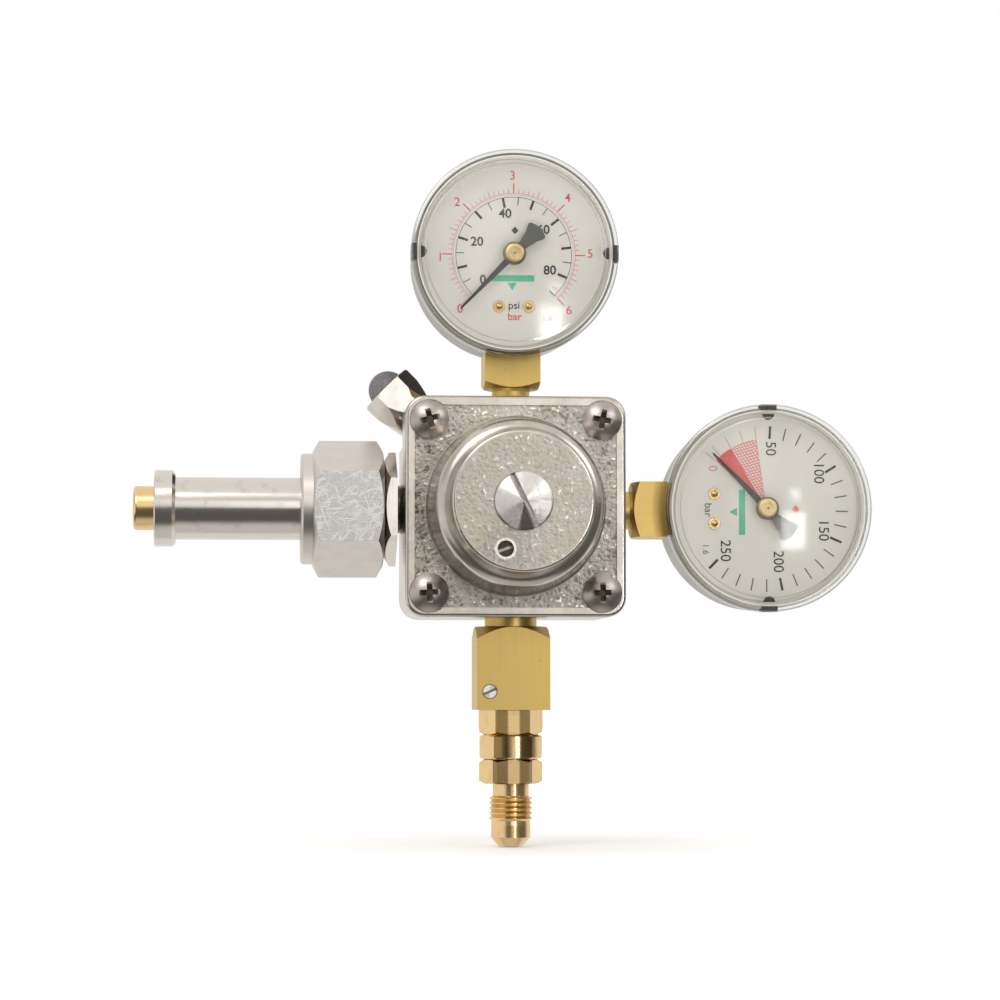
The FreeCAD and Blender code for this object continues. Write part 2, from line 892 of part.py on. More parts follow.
def block_screw():
    front = -block_side / 2 + 0.15
    back = -block_side / 2 + block_screw_length
    screw = rod(block_screw_radius, front, back, y_axis, block_screw_centre())
    half = block_screw_slot / 2
    centre = block_screw_centre()
    reach = block_screw_radius + 0.5
    slot = box((-reach, reach), (front - 1, front + 0.7), (-half, half))
    slot = move(turn(slot, y_axis, -25), centre.x, 0, centre.z)
    return at_body(screw.cut(slot))


def check_valve_body():
    shape = chamfered_hexagon(check_flats, check_round_top, check_top, high=False)
    shape = shape.fuse(turned([
        (check_bottom, 0),
        (check_bottom, check_round_radius - 0.4),
        (check_bottom + 0.4, check_round_radius),
        (check_round_top - 0.4, check_round_radius),
        (check_round_top, check_round_radius - 0.4),
        (check_round_top, 0),
    ]))
    shape = shape.fuse(rod(check_thread_radius, check_top, check_top + check_thread_length - 0.5))
    shape = shape.cut(rod(check_orifice_radius, check_seat, check_top + check_thread_length + 1))
    shape = shape.cut(rod(check_chamber_radius, check_bottom, check_seat))
    shape = shape.cut(rod(check_socket_radius, check_bottom - 1, check_bottom + check_socket_depth))
    return at_body(shape.removeSplitter())


def check_ball():
    # The ball closes the upper hole: it rests on the hole's rim.
    return at_body(Part.makeSphere(check_ball_radius, vector(0, 0, check_ball_centre())))


def check_ball_centre():
    drop = math.sqrt(check_ball_radius ** 2 - check_orifice_radius ** 2)
    return check_seat - drop - touch_gap


def check_spring():
    start = check_bottom + check_socket_depth - 0.2 + touch_gap
    rise = math.sqrt(check_ball_radius ** 2 - (check_spring_radius - check_wire_radius) ** 2)
    end = check_ball_centre() - rise - touch_gap
    return at_body(coil(check_spring_radius, check_wire_radius, start, end, check_spring_turns))


def flare_outlet():
    stub_top = check_bottom + check_socket_depth - 0.2
    profile = [
        (stub_top, flare_bore_radius),
        (stub_top, check_socket_radius - 0.5),
        (stub_top - 0.5, check_socket_radius),
        (flare_top, check_socket_radius),
        (flare_neck_top, check_socket_radius),
        (flare_neck_top, flare_neck_radius),
        (flare_thread_top, flare_neck_radius),
    ]
    turns = int(flare_thread_length / flare_thread_pitch)
    for k in range(turns):
        crest = flare_thread_top - flare_thread_pitch * (k + 0.35)
        profile.append((crest, flare_thread_radius))
        profile.append((crest - flare_thread_pitch * 0.15, flare_thread_radius))
        profile.append((crest - flare_thread_pitch * 0.6, flare_thread_radius - flare_thread_depth))
    profile += [
        (flare_land_top, flare_land_radius),
        (flare_cone_top, flare_land_radius),
        (flare_end, flare_tip_radius),
        (flare_end, flare_bore_radius),
    ]
    shape = turned(profile)
    nut = chamfered_hexagon(flare_flats, flare_neck_top, flare_top)
    nut = nut.cut(rod(check_socket_radius - 0.5, flare_neck_top - 1, flare_top + 1))
    return at_body(shape.fuse(nut).removeSplitter())


# Pressure gauge pieces, in the gauge's own frame

def gauge_case():
    inner = case_radius - case_wall
    shell = turned([
        (case_back, 0),
        (case_back, case_radius - case_round),
        (case_back - case_round * 0.293, case_radius - case_round * 0.293,
         case_back - case_round, case_radius),
        (case_front, case_radius),
        (case_front, inner),
        (case_back - case_round, inner),
        (case_back - case_wall - (case_round - case_wall) * 0.293,
         inner - (case_round - case_wall) * 0.293,
         case_back - case_wall, case_radius - case_round),
        (case_back - case_wall, 0),
    ], y_axis)
    half = socket_square / 2
    shell = shell.cut(box((-half, half), (-half, half), (-case_radius - 2, socket_shoulder)))
    return shell.cut(rod(plug_radius, case_back - 3, case_back + 1, y_axis, vector(0, 0, plug_height)))


def gauge_plug():
    # The thin disc in the back that blows out if the tube bursts.
    centre = vector(0, 0, plug_height)
    return turned([
        (case_back - case_wall - 0.8, 0),
        (case_back - case_wall - 0.8, plug_radius),
        (case_back, plug_radius),
        (case_back, plug_radius + plug_flange),
        (case_back + 0.8, plug_radius + plug_flange - 0.4),
        (case_back + 0.8, 0),
    ], y_axis, centre)


def gauge_lens():
    # A clear dome whose skirt snaps over the front of the case, with a notch for each catch.
    inner = case_radius + running_gap
    radius = inner + lens_skirt_wall
    edge = case_front - lens_edge
    rim = radius - lens_edge_round
    crown = edge - lens_rise
    seat = case_radius - case_wall - 0.6
    inner_edge = edge + lens_wall * 0.75
    inner_crown = crown + lens_wall
    lens = turned([
        (case_front + lens_skirt_length, inner),
        (case_front + lens_skirt_length, radius),
        (edge + lens_edge_round, radius),
        (edge + lens_edge_round * 0.293, radius - lens_edge_round * 0.293, edge, rim),
        (*dome_middle(edge, rim, crown), crown, 0),
        (inner_crown, 0),
        (*dome_middle(inner_edge, seat, inner_crown), inner_edge, seat),
        (case_front - touch_gap, seat),
        (case_front - touch_gap, inner),
    ], y_axis)
    half = lens_notch_width / 2
    notch_front = case_front + lens_notch_land
    notch_back = case_front + lens_skirt_length - lens_notch_land
    for side in (-1, 1):
        across = (side * (inner - 1), side * (radius + 1))
        lens = lens.cut(box(across, (notch_front, notch_back), (-half, half)))
    return lens


def gauge_dial():
    disc = ring(dial_radius, dial_hole_radius, dial_front, dial_front + dial_thickness, y_axis)
    for side in (-1, 1):
        centre = vector(side * dial_screw_x, 0, dial_screw_z)
        disc = disc.cut(rod(dial_screw_radius, dial_front - 1, dial_front + 1, y_axis, centre))
    return disc


def gauge_dial_screws():
    # Round headed pins with a turned step under the dome.
    screws = []
    for side in (-1, 1):
        centre = vector(side * dial_screw_x, 0, dial_screw_z)
        step = dial_front - dial_screw_step_height
        crown = dial_front - dial_screw_head_height
        screws.append(turned([
            (dial_front + dial_screw_length, 0),
            (dial_front + dial_screw_length, dial_screw_radius),
            (dial_front, dial_screw_radius),
            (dial_front, dial_screw_head_radius),
            (step, dial_screw_head_radius - 0.15),
            (step, dial_screw_dome_radius),
            (*dome_middle(step, dial_screw_dome_radius, crown), crown, 0),
        ], y_axis).translated(centre))
    return Part.makeCompound(screws)


def gauge_socket():
    half = socket_square / 2
    corner = half * math.sqrt(2)
    square = box((-half, half), (-half, half), (socket_face, socket_shoulder))
    barrel = turned([
        (socket_face, 0),
        (socket_face, half - 0.3),
        (socket_face + socket_chamfer, corner + 0.1),
        (socket_shoulder, corner + 0.1),
        (socket_shoulder, 0),
    ])
    thread_end = body_face_from_hub - small_port_depth + port_thread_spare
    neck = turned([
        (thread_end, 0),
        (thread_end, small_thread_radius - 0.6),
        (thread_end + 0.6, small_thread_radius),
        (body_face_from_hub, small_thread_radius),
        (body_face_from_hub, socket_neck_radius),
        (body_face_from_hub + 0.7, socket_neck_radius),
        (body_face_from_hub + 1.1, socket_neck_radius - 0.5),
        (socket_face - 0.6, socket_neck_radius - 0.5),
        (socket_face + 1, socket_neck_radius + 0.4),
        (socket_face + 1, 0),
    ])
    wide = socket_block_half
    pad_front = dial_front + dial_thickness
    block = box((-wide, wide), (pad_front, socket_block_back), (socket_shoulder, socket_block_top))
    shape = square.common(barrel).fuse([neck, block])
    shape = shape.cut(rod(1.2, thread_end - 1, -bourdon_radius))
    for side in (-1, 1):
        centre = vector(side * dial_screw_x, 0, dial_screw_z)
        hole_end = dial_front + dial_screw_length
        shape = shape.cut(rod(dial_screw_radius, pad_front - 1, hole_end, y_axis, centre))
    return shape.removeSplitter()


def gauge_bourdon_tube():
    # A flattened tube bent into a C. It leaves the left of the socket and ends at the right.
    inner = bourdon_radius - bourdon_thickness / 2
    outer = bourdon_radius + bourdon_thickness / 2
    back = bourdon_front + bourdon_width
    face = box((inner, outer), (bourdon_front, back), (0, 1)).Faces
    section = [f for f in face if abs(f.CenterOfMass.z) < 1e-6][0]
    sweep = 270 - bourdon_end_angle
    tube = upright(section.revolve(origin, y_axis, sweep))
    tube = turn(tube, y_axis, 90)
    wide = socket_block_half
    half = socket_square / 2
    tube = tube.cut(box((-wide, wide), (dial_front, socket_block_back), (-half * 4, socket_block_top)))
    pin_x, pin_z = polar(bourdon_radius - 0.8, tip_angle)
    lug = rod(1.3, bourdon_front, bourdon_front + 1.2, y_axis, vector(pin_x, 0, pin_z))
    pin = rod(link_pin_radius, gear_front - link_thickness - 0.9, bourdon_front + 0.5, y_axis,
              vector(pin_x, 0, pin_z))
    return largest(tube.fuse([lug, pin]))


def largest(shape):
    return upright(sorted(shape.Solids, key=lambda s: s.Volume)[-1])


def gauge_movement():
    bottom = socket_block_top
    outline = [
        (movement_left, bottom), (movement_right, bottom),
        (movement_right, -3.6), (4.8, movement_top), (movement_left, movement_top),
    ]
    pivot = polar(gear_centres, pivot_angle)
    pillars = [(movement_left + 1.6, 2.6), (pivot[0] - 2.8, bottom + 1.3)]
    back_plate = plate(outline, movement_back, movement_back + plate_gauge)
    front_plate = plate(outline, movement_front, movement_front + plate_gauge)
    frame = [back_plate, front_plate]
    for x, z in pillars:
        frame.append(rod(pillar_radius, movement_front + 0.5, movement_back + 0.5, y_axis, vector(x, 0, z)))
    shape = frame[0].fuse(frame[1:])
    far = movement_front - 1
    near = movement_back + plate_gauge + 1
    shape = shape.cut(rod(arbor_radius + running_gap, far, near, y_axis))
    shape = shape.cut(rod(pivot_pin_radius + running_gap, far, near, y_axis, vector(pivot[0], 0, pivot[1])))
    return shape.removeSplitter()


def tooth_points(pitch_radius, angle, centre=(0, 0)):
    # Four points of one straight-sided tooth, thin enough to leave backlash.
    half = 0.2 * gear_module / 0.3
    slope = math.tan(math.radians(20))
    tip = pitch_radius + 0.8 * gear_module
    root = pitch_radius - 1.25 * gear_module
    tip_half = math.degrees((half - 0.8 * gear_module * slope) / tip)
    root_half = math.degrees((half + 1.25 * gear_module * slope) / root)
    return [
        polar(root, angle - root_half, centre), polar(tip, angle - tip_half, centre),
        polar(tip, angle + tip_half, centre), polar(root, angle + root_half, centre),
    ]


def gauge_arbor():
    points = []
    pitch = 360 / pinion_teeth
    for k in range(pinion_teeth):
        points += tooth_points(pinion_pitch_radius, pivot_angle + pitch * (k + 0.5))
    middle = gear_front + gear_thickness / 2
    pinion = plate(points, middle - pinion_thickness / 2, middle + pinion_thickness / 2)
    shaft = rod(arbor_radius, pointer_hub_front + 0.6, movement_back + plate_gauge - 0.1, y_axis)
    return pinion.fuse(shaft).removeSplitter()


def gauge_sector():
    pivot = polar(gear_centres, pivot_angle)
    towards_hub = pivot_angle + 180
    pitch = 360 / sector_teeth
    spare = 1
    count = int(round(sector_travel / pitch)) + 2 * spare + 1
    points = []
    for k in range(count):
        points += tooth_points(sector_pitch_radius, towards_hub + pitch * (k + spare - count + 1), pivot)
    first = towards_hub + pitch * (spare - count + 0.5)
    last = towards_hub + pitch * (spare + 0.5)
    root = sector_pitch_radius - 1.25 * gear_module
    points = [polar(root, first, pivot)] + points + [polar(root, last, pivot)]
    points += [polar(1.2, last, pivot), polar(1.2, first, pivot)]
    back = gear_front + gear_thickness
    fan = plate(points, gear_front, back)
    tail_end = polar(tail_length, pivot_angle, pivot)
    spread = 0.8
    tail = plate([
        polar(spread, pivot_angle + 90, pivot), polar(spread, pivot_angle - 90, pivot),
        polar(spread, pivot_angle - 90, tail_end), polar(spread, pivot_angle + 90, tail_end),
    ], gear_front, back)
    centre = vector(pivot[0], 0, pivot[1])
    pieces = [
        tail,
        rod(1.5, gear_front, back, y_axis, centre),
        rod(1.0, gear_front, back, y_axis, vector(tail_end[0], 0, tail_end[1])),
        rod(link_pin_radius, gear_front - link_thickness - 0.5, gear_front, y_axis,
            vector(tail_end[0], 0, tail_end[1])),
        rod(pivot_pin_radius, movement_front + 0.1, movement_back + plate_gauge - 0.1, y_axis, centre),
    ]
    return fan.fuse(pieces).removeSplitter()


def gauge_link():
    pivot = polar(gear_centres, pivot_angle)
    low = polar(tail_length, pivot_angle, pivot)
    high = polar(bourdon_radius - 0.8, tip_angle)
    back = gear_front - touch_gap
    front = back - link_thickness
    length = math.hypot(high[0] - low[0], high[1] - low[1])
    across = ((high[1] - low[1]) / length * link_waist, (low[0] - high[0]) / length * link_waist)
    bar = plate([
        (low[0] + across[0], low[1] + across[1]), (high[0] + across[0], high[1] + across[1]),
        (high[0] - across[0], high[1] - across[1]), (low[0] - across[0], low[1] - across[1]),
    ], front, back)
    eyes = [rod(link_eye_radius, front, back, y_axis, vector(x, 0, z)) for x, z in (low, high)]
    hole = link_pin_radius + running_gap
    holes = [rod(hole, front - 1, back + 1, y_axis, vector(x, 0, z)) for x, z in (low, high)]
    return bar.fuse(eyes).cut(holes).removeSplitter()


def gauge_pointer(angle):
    # A slim blade on one side of the hub and a spade-shaped counterweight on the other.
    back = pointer_height + pointer_thickness
    blade = [
        polar(pointer_root_half, 90), polar(pointer_root_half, -90),
        (pointer_length - 0.6, -pointer_tip_half), (pointer_length, 0),
        (pointer_length - 0.6, pointer_tip_half),
    ]
    waist, half, tail = pointer_tail_waist, pointer_tail_half, pointer_tail
    side = [
        (0, waist), (-tail * 0.34, waist), (-tail * 0.66, waist + (half - waist) * 0.45),
        (-tail * 0.86, half), (-tail * 0.92, half * 0.9), (-tail * 0.97, half * 0.5),
    ]
    spade = side + [(-tail, 0)] + [(x, -z) for x, z in reversed(side)]
    disc = rod(pointer_hub_radius - 0.4, pointer_height, back, y_axis)
    shape = plate(blade, pointer_height, back).fuse([plate(spade, pointer_height, back), disc])
    shape = turn(shape, y_axis, -angle)
    return shape.cut(rod(pointer_collar_radius, pointer_height - 1, back + 1, y_axis)).removeSplitter()


def gauge_pointer_hub():
    back = dial_front - 0.3
    top = pointer_hub_front
    return turned([
        (back, arbor_radius),
        (back, pointer_collar_radius),
        (pointer_height, pointer_collar_radius),
        (pointer_height, pointer_hub_radius),
        (top + 0.6, pointer_hub_radius),
        (top + 0.15, pointer_hub_radius - 0.5, top, 1.2),
        (top, 0),
        (top + 0.6, 0),
        (top + 0.6, arbor_radius),
    ], y_axis)


def gauge_pieces(pointer_angle):
    return {
        "case": gauge_case(),
        "blowout_plug": gauge_plug(),
        "lens": gauge_lens(),
        "dial": gauge_dial(),
        "dial_screws": gauge_dial_screws(),
        "socket": gauge_socket(),
        "bourdon_tube": gauge_bourdon_tube(),
        "movement_frame": gauge_movement(),
        "pointer_arbor": gauge_arbor(),
        "sector_gear": gauge_sector(),
        "link": gauge_link(),
        "pointer": gauge_pointer(pointer_angle),
        "pointer_hub": gauge_pointer_hub(),
    }


def build_parts():
    parts = {
        "body": body(),
        "bonnet": bonnet(),
        "flange_screws": flange_screws(),
        "adjusting_screw": adjusting_screw(),
        "spring_button": spring_button(),
        "main_spring": main_spring(),
        "diaphragm": diaphragm(),
        "diaphragm_plate": diaphragm_plate(),
        "vent_screw": vent_screw(),
        "seat_nozzle": seat_nozzle(),
        "valve_poppet": valve_poppet(),
        "seat_disc": seat_disc(),
        "poppet_spring": poppet_spring(),
        "inlet_stem": inlet_stem(),
        "inlet_nose": inlet_nose(),
        "inlet_filter": inlet_filter(),
        "lock_nut": lock_nut(),
        "union_nut": union_nut(),
        "slip_washer": slip_washer(),
        "relief_body": relief_body(),
        "relief_poppet": relief_poppet(),
        "relief_spring": relief_spring(),
        "relief_cap": relief_cap(),
        "outlet_block": outlet_block(),
        "block_screw": block_screw(),
        "check_valve_body": check_valve_body(),
        "check_ball": check_ball(),
        "check_spring": check_spring(),
        "flare_outlet": flare_outlet(),
    }
    for name, shape in gauge_pieces(outlet_pointer_angle).items():
        parts["outlet_gauge_" + name] = move(shape, body_centre_x, 0, gauge_hub_reach)
    for name, shape in gauge_pieces(cylinder_pointer_angle).items():
        parts["cylinder_gauge_" + name] = move(turn(shape, y_axis, 90), body_centre_x + gauge_hub_reach, 0, 0)
    return parts


os.makedirs("parts", exist_ok=True)
for name, shape in build_parts().items():
    shape.exportStep("parts/" + name + ".step")
    print(name, "solids", len(shape.Solids), "valid", shape.isValid(), "volume", round(shape.Volume, 2))
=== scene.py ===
import math

import bpy
from mathutils import Matrix, Vector


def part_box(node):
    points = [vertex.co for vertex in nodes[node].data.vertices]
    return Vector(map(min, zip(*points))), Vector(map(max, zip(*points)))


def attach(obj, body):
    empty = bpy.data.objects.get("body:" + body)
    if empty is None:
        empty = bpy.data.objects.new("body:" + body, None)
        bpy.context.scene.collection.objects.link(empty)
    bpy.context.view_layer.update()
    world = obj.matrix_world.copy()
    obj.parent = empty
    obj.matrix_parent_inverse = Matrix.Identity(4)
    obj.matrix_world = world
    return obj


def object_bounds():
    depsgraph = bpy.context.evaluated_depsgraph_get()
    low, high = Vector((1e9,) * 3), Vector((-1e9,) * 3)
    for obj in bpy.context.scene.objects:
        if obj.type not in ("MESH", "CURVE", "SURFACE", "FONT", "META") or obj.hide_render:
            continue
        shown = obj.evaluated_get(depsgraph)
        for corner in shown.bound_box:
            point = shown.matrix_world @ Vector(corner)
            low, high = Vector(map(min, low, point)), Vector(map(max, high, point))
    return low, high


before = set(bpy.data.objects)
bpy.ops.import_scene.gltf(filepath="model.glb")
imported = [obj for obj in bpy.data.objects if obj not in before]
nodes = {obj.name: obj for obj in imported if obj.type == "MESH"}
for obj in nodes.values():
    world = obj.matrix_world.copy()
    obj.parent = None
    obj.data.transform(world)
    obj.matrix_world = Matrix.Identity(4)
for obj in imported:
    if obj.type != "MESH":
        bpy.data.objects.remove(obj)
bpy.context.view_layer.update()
mm = 0.001
print("frame loaded", len(nodes))


# A shader value that adds Math nodes when it is used in an expression.
class Wire:
    def __init__(self, paint, socket):
        self.paint = paint
        self.socket = socket

    def __add__(self, other):
        return self.paint.math("ADD", self, other)

    def __radd__(self, other):
        return self.paint.math("ADD", other, self)

    def __sub__(self, other):
        return self.paint.math("SUBTRACT", self, other)

    def __rsub__(self, other):
        return self.paint.math("SUBTRACT", other, self)

    def __mul__(self, other):
        return self.paint.math("MULTIPLY", self, other)

    def __rmul__(self, other):
        return self.paint.math("MULTIPLY", other, self)

    def __truediv__(self, other):
        return self.paint.math("DIVIDE", self, other)

    def __rtruediv__(self, other):
        return self.paint.math("DIVIDE", other, self)

    def __gt__(self, other):
        return self.paint.math("GREATER_THAN", self, other)

    def __lt__(self, other):
        return self.paint.math("LESS_THAN", self, other)

    def __abs__(self):
        return self.paint.math("ABSOLUTE", self)


# One node tree being wired, for a material or for the world.
class Paint:
    def __init__(self, owner):
        self.owner = owner
        owner.use_nodes = True
        self.tree = owner.node_tree
        self.tree.nodes.clear()

    def feed(self, socket, value):
        if isinstance(value, Wire):
            self.tree.links.new(value.socket, socket)
        elif value is not None:
            socket.default_value = value

    def node(self, kind, settings, values):
        made = self.tree.nodes.new("ShaderNode" + kind)
        for name, value in settings.items():
            setattr(made, name, value)
        for key, value in values.items():
            self.feed(made.inputs[key], value)
        return made

    def wire(self, kind, settings, values, output=0):
        return Wire(self, self.node(kind, settings, values).outputs[output])

    def math(self, operation, first, second=None, clamp=False):
        values = {0: first}
        if second is not None:
            values[1] = second
        return self.wire("Math", {"operation": operation, "use_clamp": clamp}, values)

    def place(self):
        source = self.wire("TexCoord", {}, {}, "Object")
        parts = self.node("SeparateXYZ", {}, {0: source})
        return source, [Wire(self, parts.outputs[k]) for k in range(3)]

    def noise(self, where, scale, detail=2.0, stretch=None):
        if stretch:
            where = self.wire("VectorMath", {"operation": "MULTIPLY"}, {0: where, 1: stretch})
        values = {"Vector": where, "Scale": scale, "Detail": detail}
        return self.wire("TexNoise", {"noise_dimensions": "3D"}, values, "Fac")

    def step(self, value, low, high):
        settings = {"interpolation_type": "SMOOTHSTEP"}
        values = {"Value": value, "From Min": low, "From Max": high, "To Min": 0.0, "To Max": 1.0}
        return self.wire("MapRange", settings, values, "Result")

    def blend(self, factor, first, second):
        made = self.node("Mix", {"data_type": "RGBA"}, {"Factor": factor})
        colours = [socket for socket in made.inputs if socket.type == "RGBA"]
        self.feed(colours[0], first)
        self.feed(colours[1], second)
        return Wire(self, [socket for socket in made.outputs if socket.type == "RGBA"][0])

    def bump(self, height, distance, strength=1.0):
        values = {"Height": height, "Distance": distance, "Strength": strength}
        return self.wire("Bump", {}, values, "Normal")

    def surface(self, colour, rough, metal, normal=None, fixed=None):
        values = {"Base Color": colour, "Roughness": rough, "Metallic": metal, "Normal": normal}
        values.update(fixed or {})
        return self.wire("BsdfPrincipled", {}, values, "BSDF")

    def finish(self, shader):
        kind = "OutputWorld" if isinstance(self.owner, bpy.types.World) else "OutputMaterial"
        self.node(kind, {}, {"Surface": shader})
        return self.owner


def material(name):
    return Paint(bpy.data.materials.new(name))


def rgb(red, green, blue):
    return (red, green, blue, 1.0)


def distance(paint, first, second):
    return paint.math("SQRT", first * first + second * second)


def nodeCentre(name):
    low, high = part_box(name)
    return [(low[k] + high[k]) / 2 for k in range(3)]


# Nickel, cast: smooth where it is polished, with a sparkling grain on the flange face and the plateau.
castLook = {
    "colour": rgb(0.59, 0.555, 0.50),
    "bright": rgb(0.98, 0.94, 0.84),
    "dark": rgb(0.15, 0.13, 0.10),
    "warm": rgb(0.62, 0.58, 0.46),
    "smoothRough": 0.2,
    "grainRough": 0.26,
    "grainScale": 1050.0,
    "grainDepth": 0.00036,
    "flangeFront": (-0.01562, -0.0154),
    "domeRadius": 0.0226,
    "plateauDepth": 0.00035,
    "plateauRadius": 0.0166,
    "ventEdge": (0.0019, 0.00265),
    "leftShade": 0.75,
    "blotchGrime": 0.35,
    "ventGrime": 0.7,
}


def castNickel():
    paint = material("castNickel")
    where, (x, y, z) = paint.place()
    valve = nodeCentre("bonnet")
    low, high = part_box("bonnet")
    fromAxis = distance(paint, x - valve[0], z - valve[2])
    flangeLow, flangeHigh = castLook["flangeFront"]
    flangeFace = (y < flangeHigh) * (y > flangeLow) * (fromAxis > castLook["domeRadius"])
    plateau = (y < low[1] + castLook["plateauDepth"]) * (fromAxis < castLook["plateauRadius"])
    grainy = paint.math("MAXIMUM", flangeFace, plateau)
    vent = nodeCentre("vent_screw")
    fromVent = distance(paint, x - vent[0], z - vent[2])
    edgeInner, edgeOuter = castLook["ventEdge"]
    ventEdge = (fromVent < edgeOuter) * (fromVent > edgeInner) * plateau
    fine = paint.noise(where, castLook["grainScale"], 3.0)
    coarse = paint.noise(where, castLook["grainScale"] * 0.4, 2.0)
    cloud = paint.noise(where, 160.0, 3.0)
    calm = 1.0 - plateau * 0.55
    spark = paint.step(fine, 0.585, 0.66) * paint.step(coarse, 0.46, 0.60)
    pit = paint.step(fine, 0.47, 0.39) * paint.step(coarse, 0.58, 0.42)
    blotch = paint.step(paint.noise(where, 90.0, 2.0), 0.45, 0.65)
    # The flange face gets darker towards its left side: painted shade. The blotches on it and the patch round
    # the vent are dirt.
    leftSideShade = paint.step(x - valve[0], -0.014, -0.026)
    ventDown = paint.step(fromVent, 0.0095, 0.0030)
    flangeDirtAndShade = flangeFace * (leftSideShade * castLook["leftShade"] + blotch * castLook["blotchGrime"])
    dirtAndShade = paint.math("MAXIMUM", flangeDirtAndShade, plateau * ventDown * castLook["ventGrime"])
    colour = paint.blend(paint.step(cloud, 0.3, 0.75) * 0.25, castLook["colour"], castLook["dark"])
    colour = paint.blend(grainy * spark, colour, castLook["bright"])
    colour = paint.blend(plateau * paint.step(cloud, 0.4, 0.7) * 0.6, colour, castLook["warm"])
    colour = paint.blend(grainy * calm * pit * (0.55 + dirtAndShade * 0.45), colour, castLook["dark"])
    colour = paint.blend(dirtAndShade * 0.3, colour, castLook["dark"])
    colour = paint.blend(ventEdge * 0.8, colour, castLook["bright"])
    rough = castLook["smoothRough"] + cloud * 0.08 + grainy * castLook["grainRough"]
    rough = rough - grainy * spark * 0.2
    height = (fine + coarse * 0.8) * grainy * calm + cloud * 0.08
    normal = paint.bump(height, castLook["grainDepth"], 0.9)
    return paint.finish(paint.surface(colour, rough, 1.0, normal))


# Nickel, turned or milled, with fine lines round one axis.
turnedLook = {
    "colour": rgb(0.68, 0.645, 0.605),
    "dark": rgb(0.42, 0.385, 0.35),
    "rough": 0.11,
    "lines": 4500.0,
}


def turnedNickel(name, along, rough=None):
    paint = material(name)
    where = paint.place()[0]
    stretch = [0.02, 0.02, 0.02]
    stretch[along] = 1.0
    lines = paint.noise(where, turnedLook["lines"], 2.0, tuple(stretch))
    stain = paint.noise(where, 220.0, 4.0)
    colour = paint.blend(paint.step(stain, 0.52, 0.8) * 0.5, turnedLook["colour"], turnedLook["dark"])
    base = turnedLook["rough"] if rough is None else rough
    roughness = base + stain * 0.10 + lines * 0.05
    normal = paint.bump(lines + stain * 0.6, 0.00001, 0.5)
    return paint.finish(paint.surface(colour, roughness, 1.0, normal))


# The union nut: scuffed bright scratches on the flat that faces forward, smooth flats elsewhere.
nutLook = {
    "colour": rgb(0.66, 0.625, 0.59),
    "scuff": rgb(0.93, 0.92, 0.90),
    "dull": rgb(0.50, 0.49, 0.475),
    "front": rgb(0.62, 0.62, 0.61),
    "rough": 0.26,
    "frontDepth": 0.0003,
    "streaks": ((25, 1500.0), (-35, 1300.0), (78, 1700.0), (-70, 1200.0), (50, 2100.0), (5, 1900.0)),
}


def nutNickel():
    paint = material("nutNickel")
    where, (x, y, z) = paint.place()
    low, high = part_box("union_nut")
    front = y < low[1] + nutLook["frontDepth"]
    cloud = paint.noise(where, 260.0, 4.0)
    scratches = []
    for turnBy, scale in nutLook["streaks"]:
        values = {"Vector": where, "Rotation": (0.0, math.radians(turnBy), 0.0)}
        turned = paint.wire("VectorRotate", {"rotation_type": "EULER_XYZ"}, values)
        streak = paint.noise(turned, scale, 1.0, (0.12, 1.0, 1.0))
        scratches.append(paint.step(streak, 0.60, 0.67))
    scratch = scratches[0]
    for one in scratches[1:]:
        scratch = paint.math("MAXIMUM", scratch, one)
    speck = paint.step(paint.noise(where, 2200.0, 2.0), 0.54, 0.66)
    scuff = paint.math("MAXIMUM", scratch * paint.step(cloud, 0.30, 0.55), speck * 0.75)
    colour = paint.blend(paint.step(cloud, 0.45, 0.8) * 0.3, nutLook["colour"], nutLook["dull"])
    colour = paint.blend(front * 0.7, colour, nutLook["front"])
    colour = paint.blend(front * scuff * 0.6, colour, nutLook["scuff"])
    rough = nutLook["rough"] + cloud * 0.12 + front * 0.22
    normal = paint.bump(cloud * 0.3 + front * scuff, 0.00005, 0.5)
    return paint.finish(paint.surface(colour, rough, 1.0, normal))


# Zinc plated screws, with painted shade down in their cross recesses.
screwLook = {
    "dull": rgb(0.33, 0.295, 0.27),
    "plated": rgb(0.56, 0.515, 0.475),
    "recess": rgb(0.10, 0.085, 0.055),
    "headRadius": 0.00485,
    "recessRadius": 0.0033,
    "recessDepth": 0.0009,
}


def screwSteel():
    paint = material("screwSteel")
    where, (x, y, z) = paint.place()
    low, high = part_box("flange_screws")
    middle = nodeCentre("flange_screws")
    reach = high[0] - middle[0] - screwLook["headRadius"]
    across = abs(x - middle[0]) - reach
    up = abs(z - middle[2]) - reach
    fromScrew = distance(paint, across, up)
    # The cross recesses are darkened: painted shade.
    recess = (fromScrew < screwLook["recessRadius"]) * (y > low[1] + screwLook["recessDepth"])
    cloud = paint.noise(where, 500.0, 4.0)
    fine = paint.noise(where, 3500.0, 2.0)
    colour = paint.blend(cloud, screwLook["dull"], screwLook["plated"])
    colour = paint.blend(recess * 0.85, colour, screwLook["recess"])
    rough = 0.27 + cloud * 0.15 + recess * 0.3
    normal = paint.bump(fine + cloud, 0.00003, 0.4)
    return paint.finish(paint.surface(colour, rough, 1.0, normal))


def plainSteel(name, colour, rough):
    paint = material(name)
    where = paint.place()[0]
    cloud = paint.noise(where, 420.0, 4.0)
    fine = paint.noise(where, 2800.0, 2.0)
    darker = rgb(colour[0] * 0.6, colour[1] * 0.6, colour[2] * 0.6)
    shade = paint.blend(paint.step(cloud, 0.35, 0.75) * 0.7, colour, darker)
    normal = paint.bump(fine + cloud, 0.00002, 0.4)
    return paint.finish(paint.surface(shade, rough + cloud * 0.14, 1.0, normal))
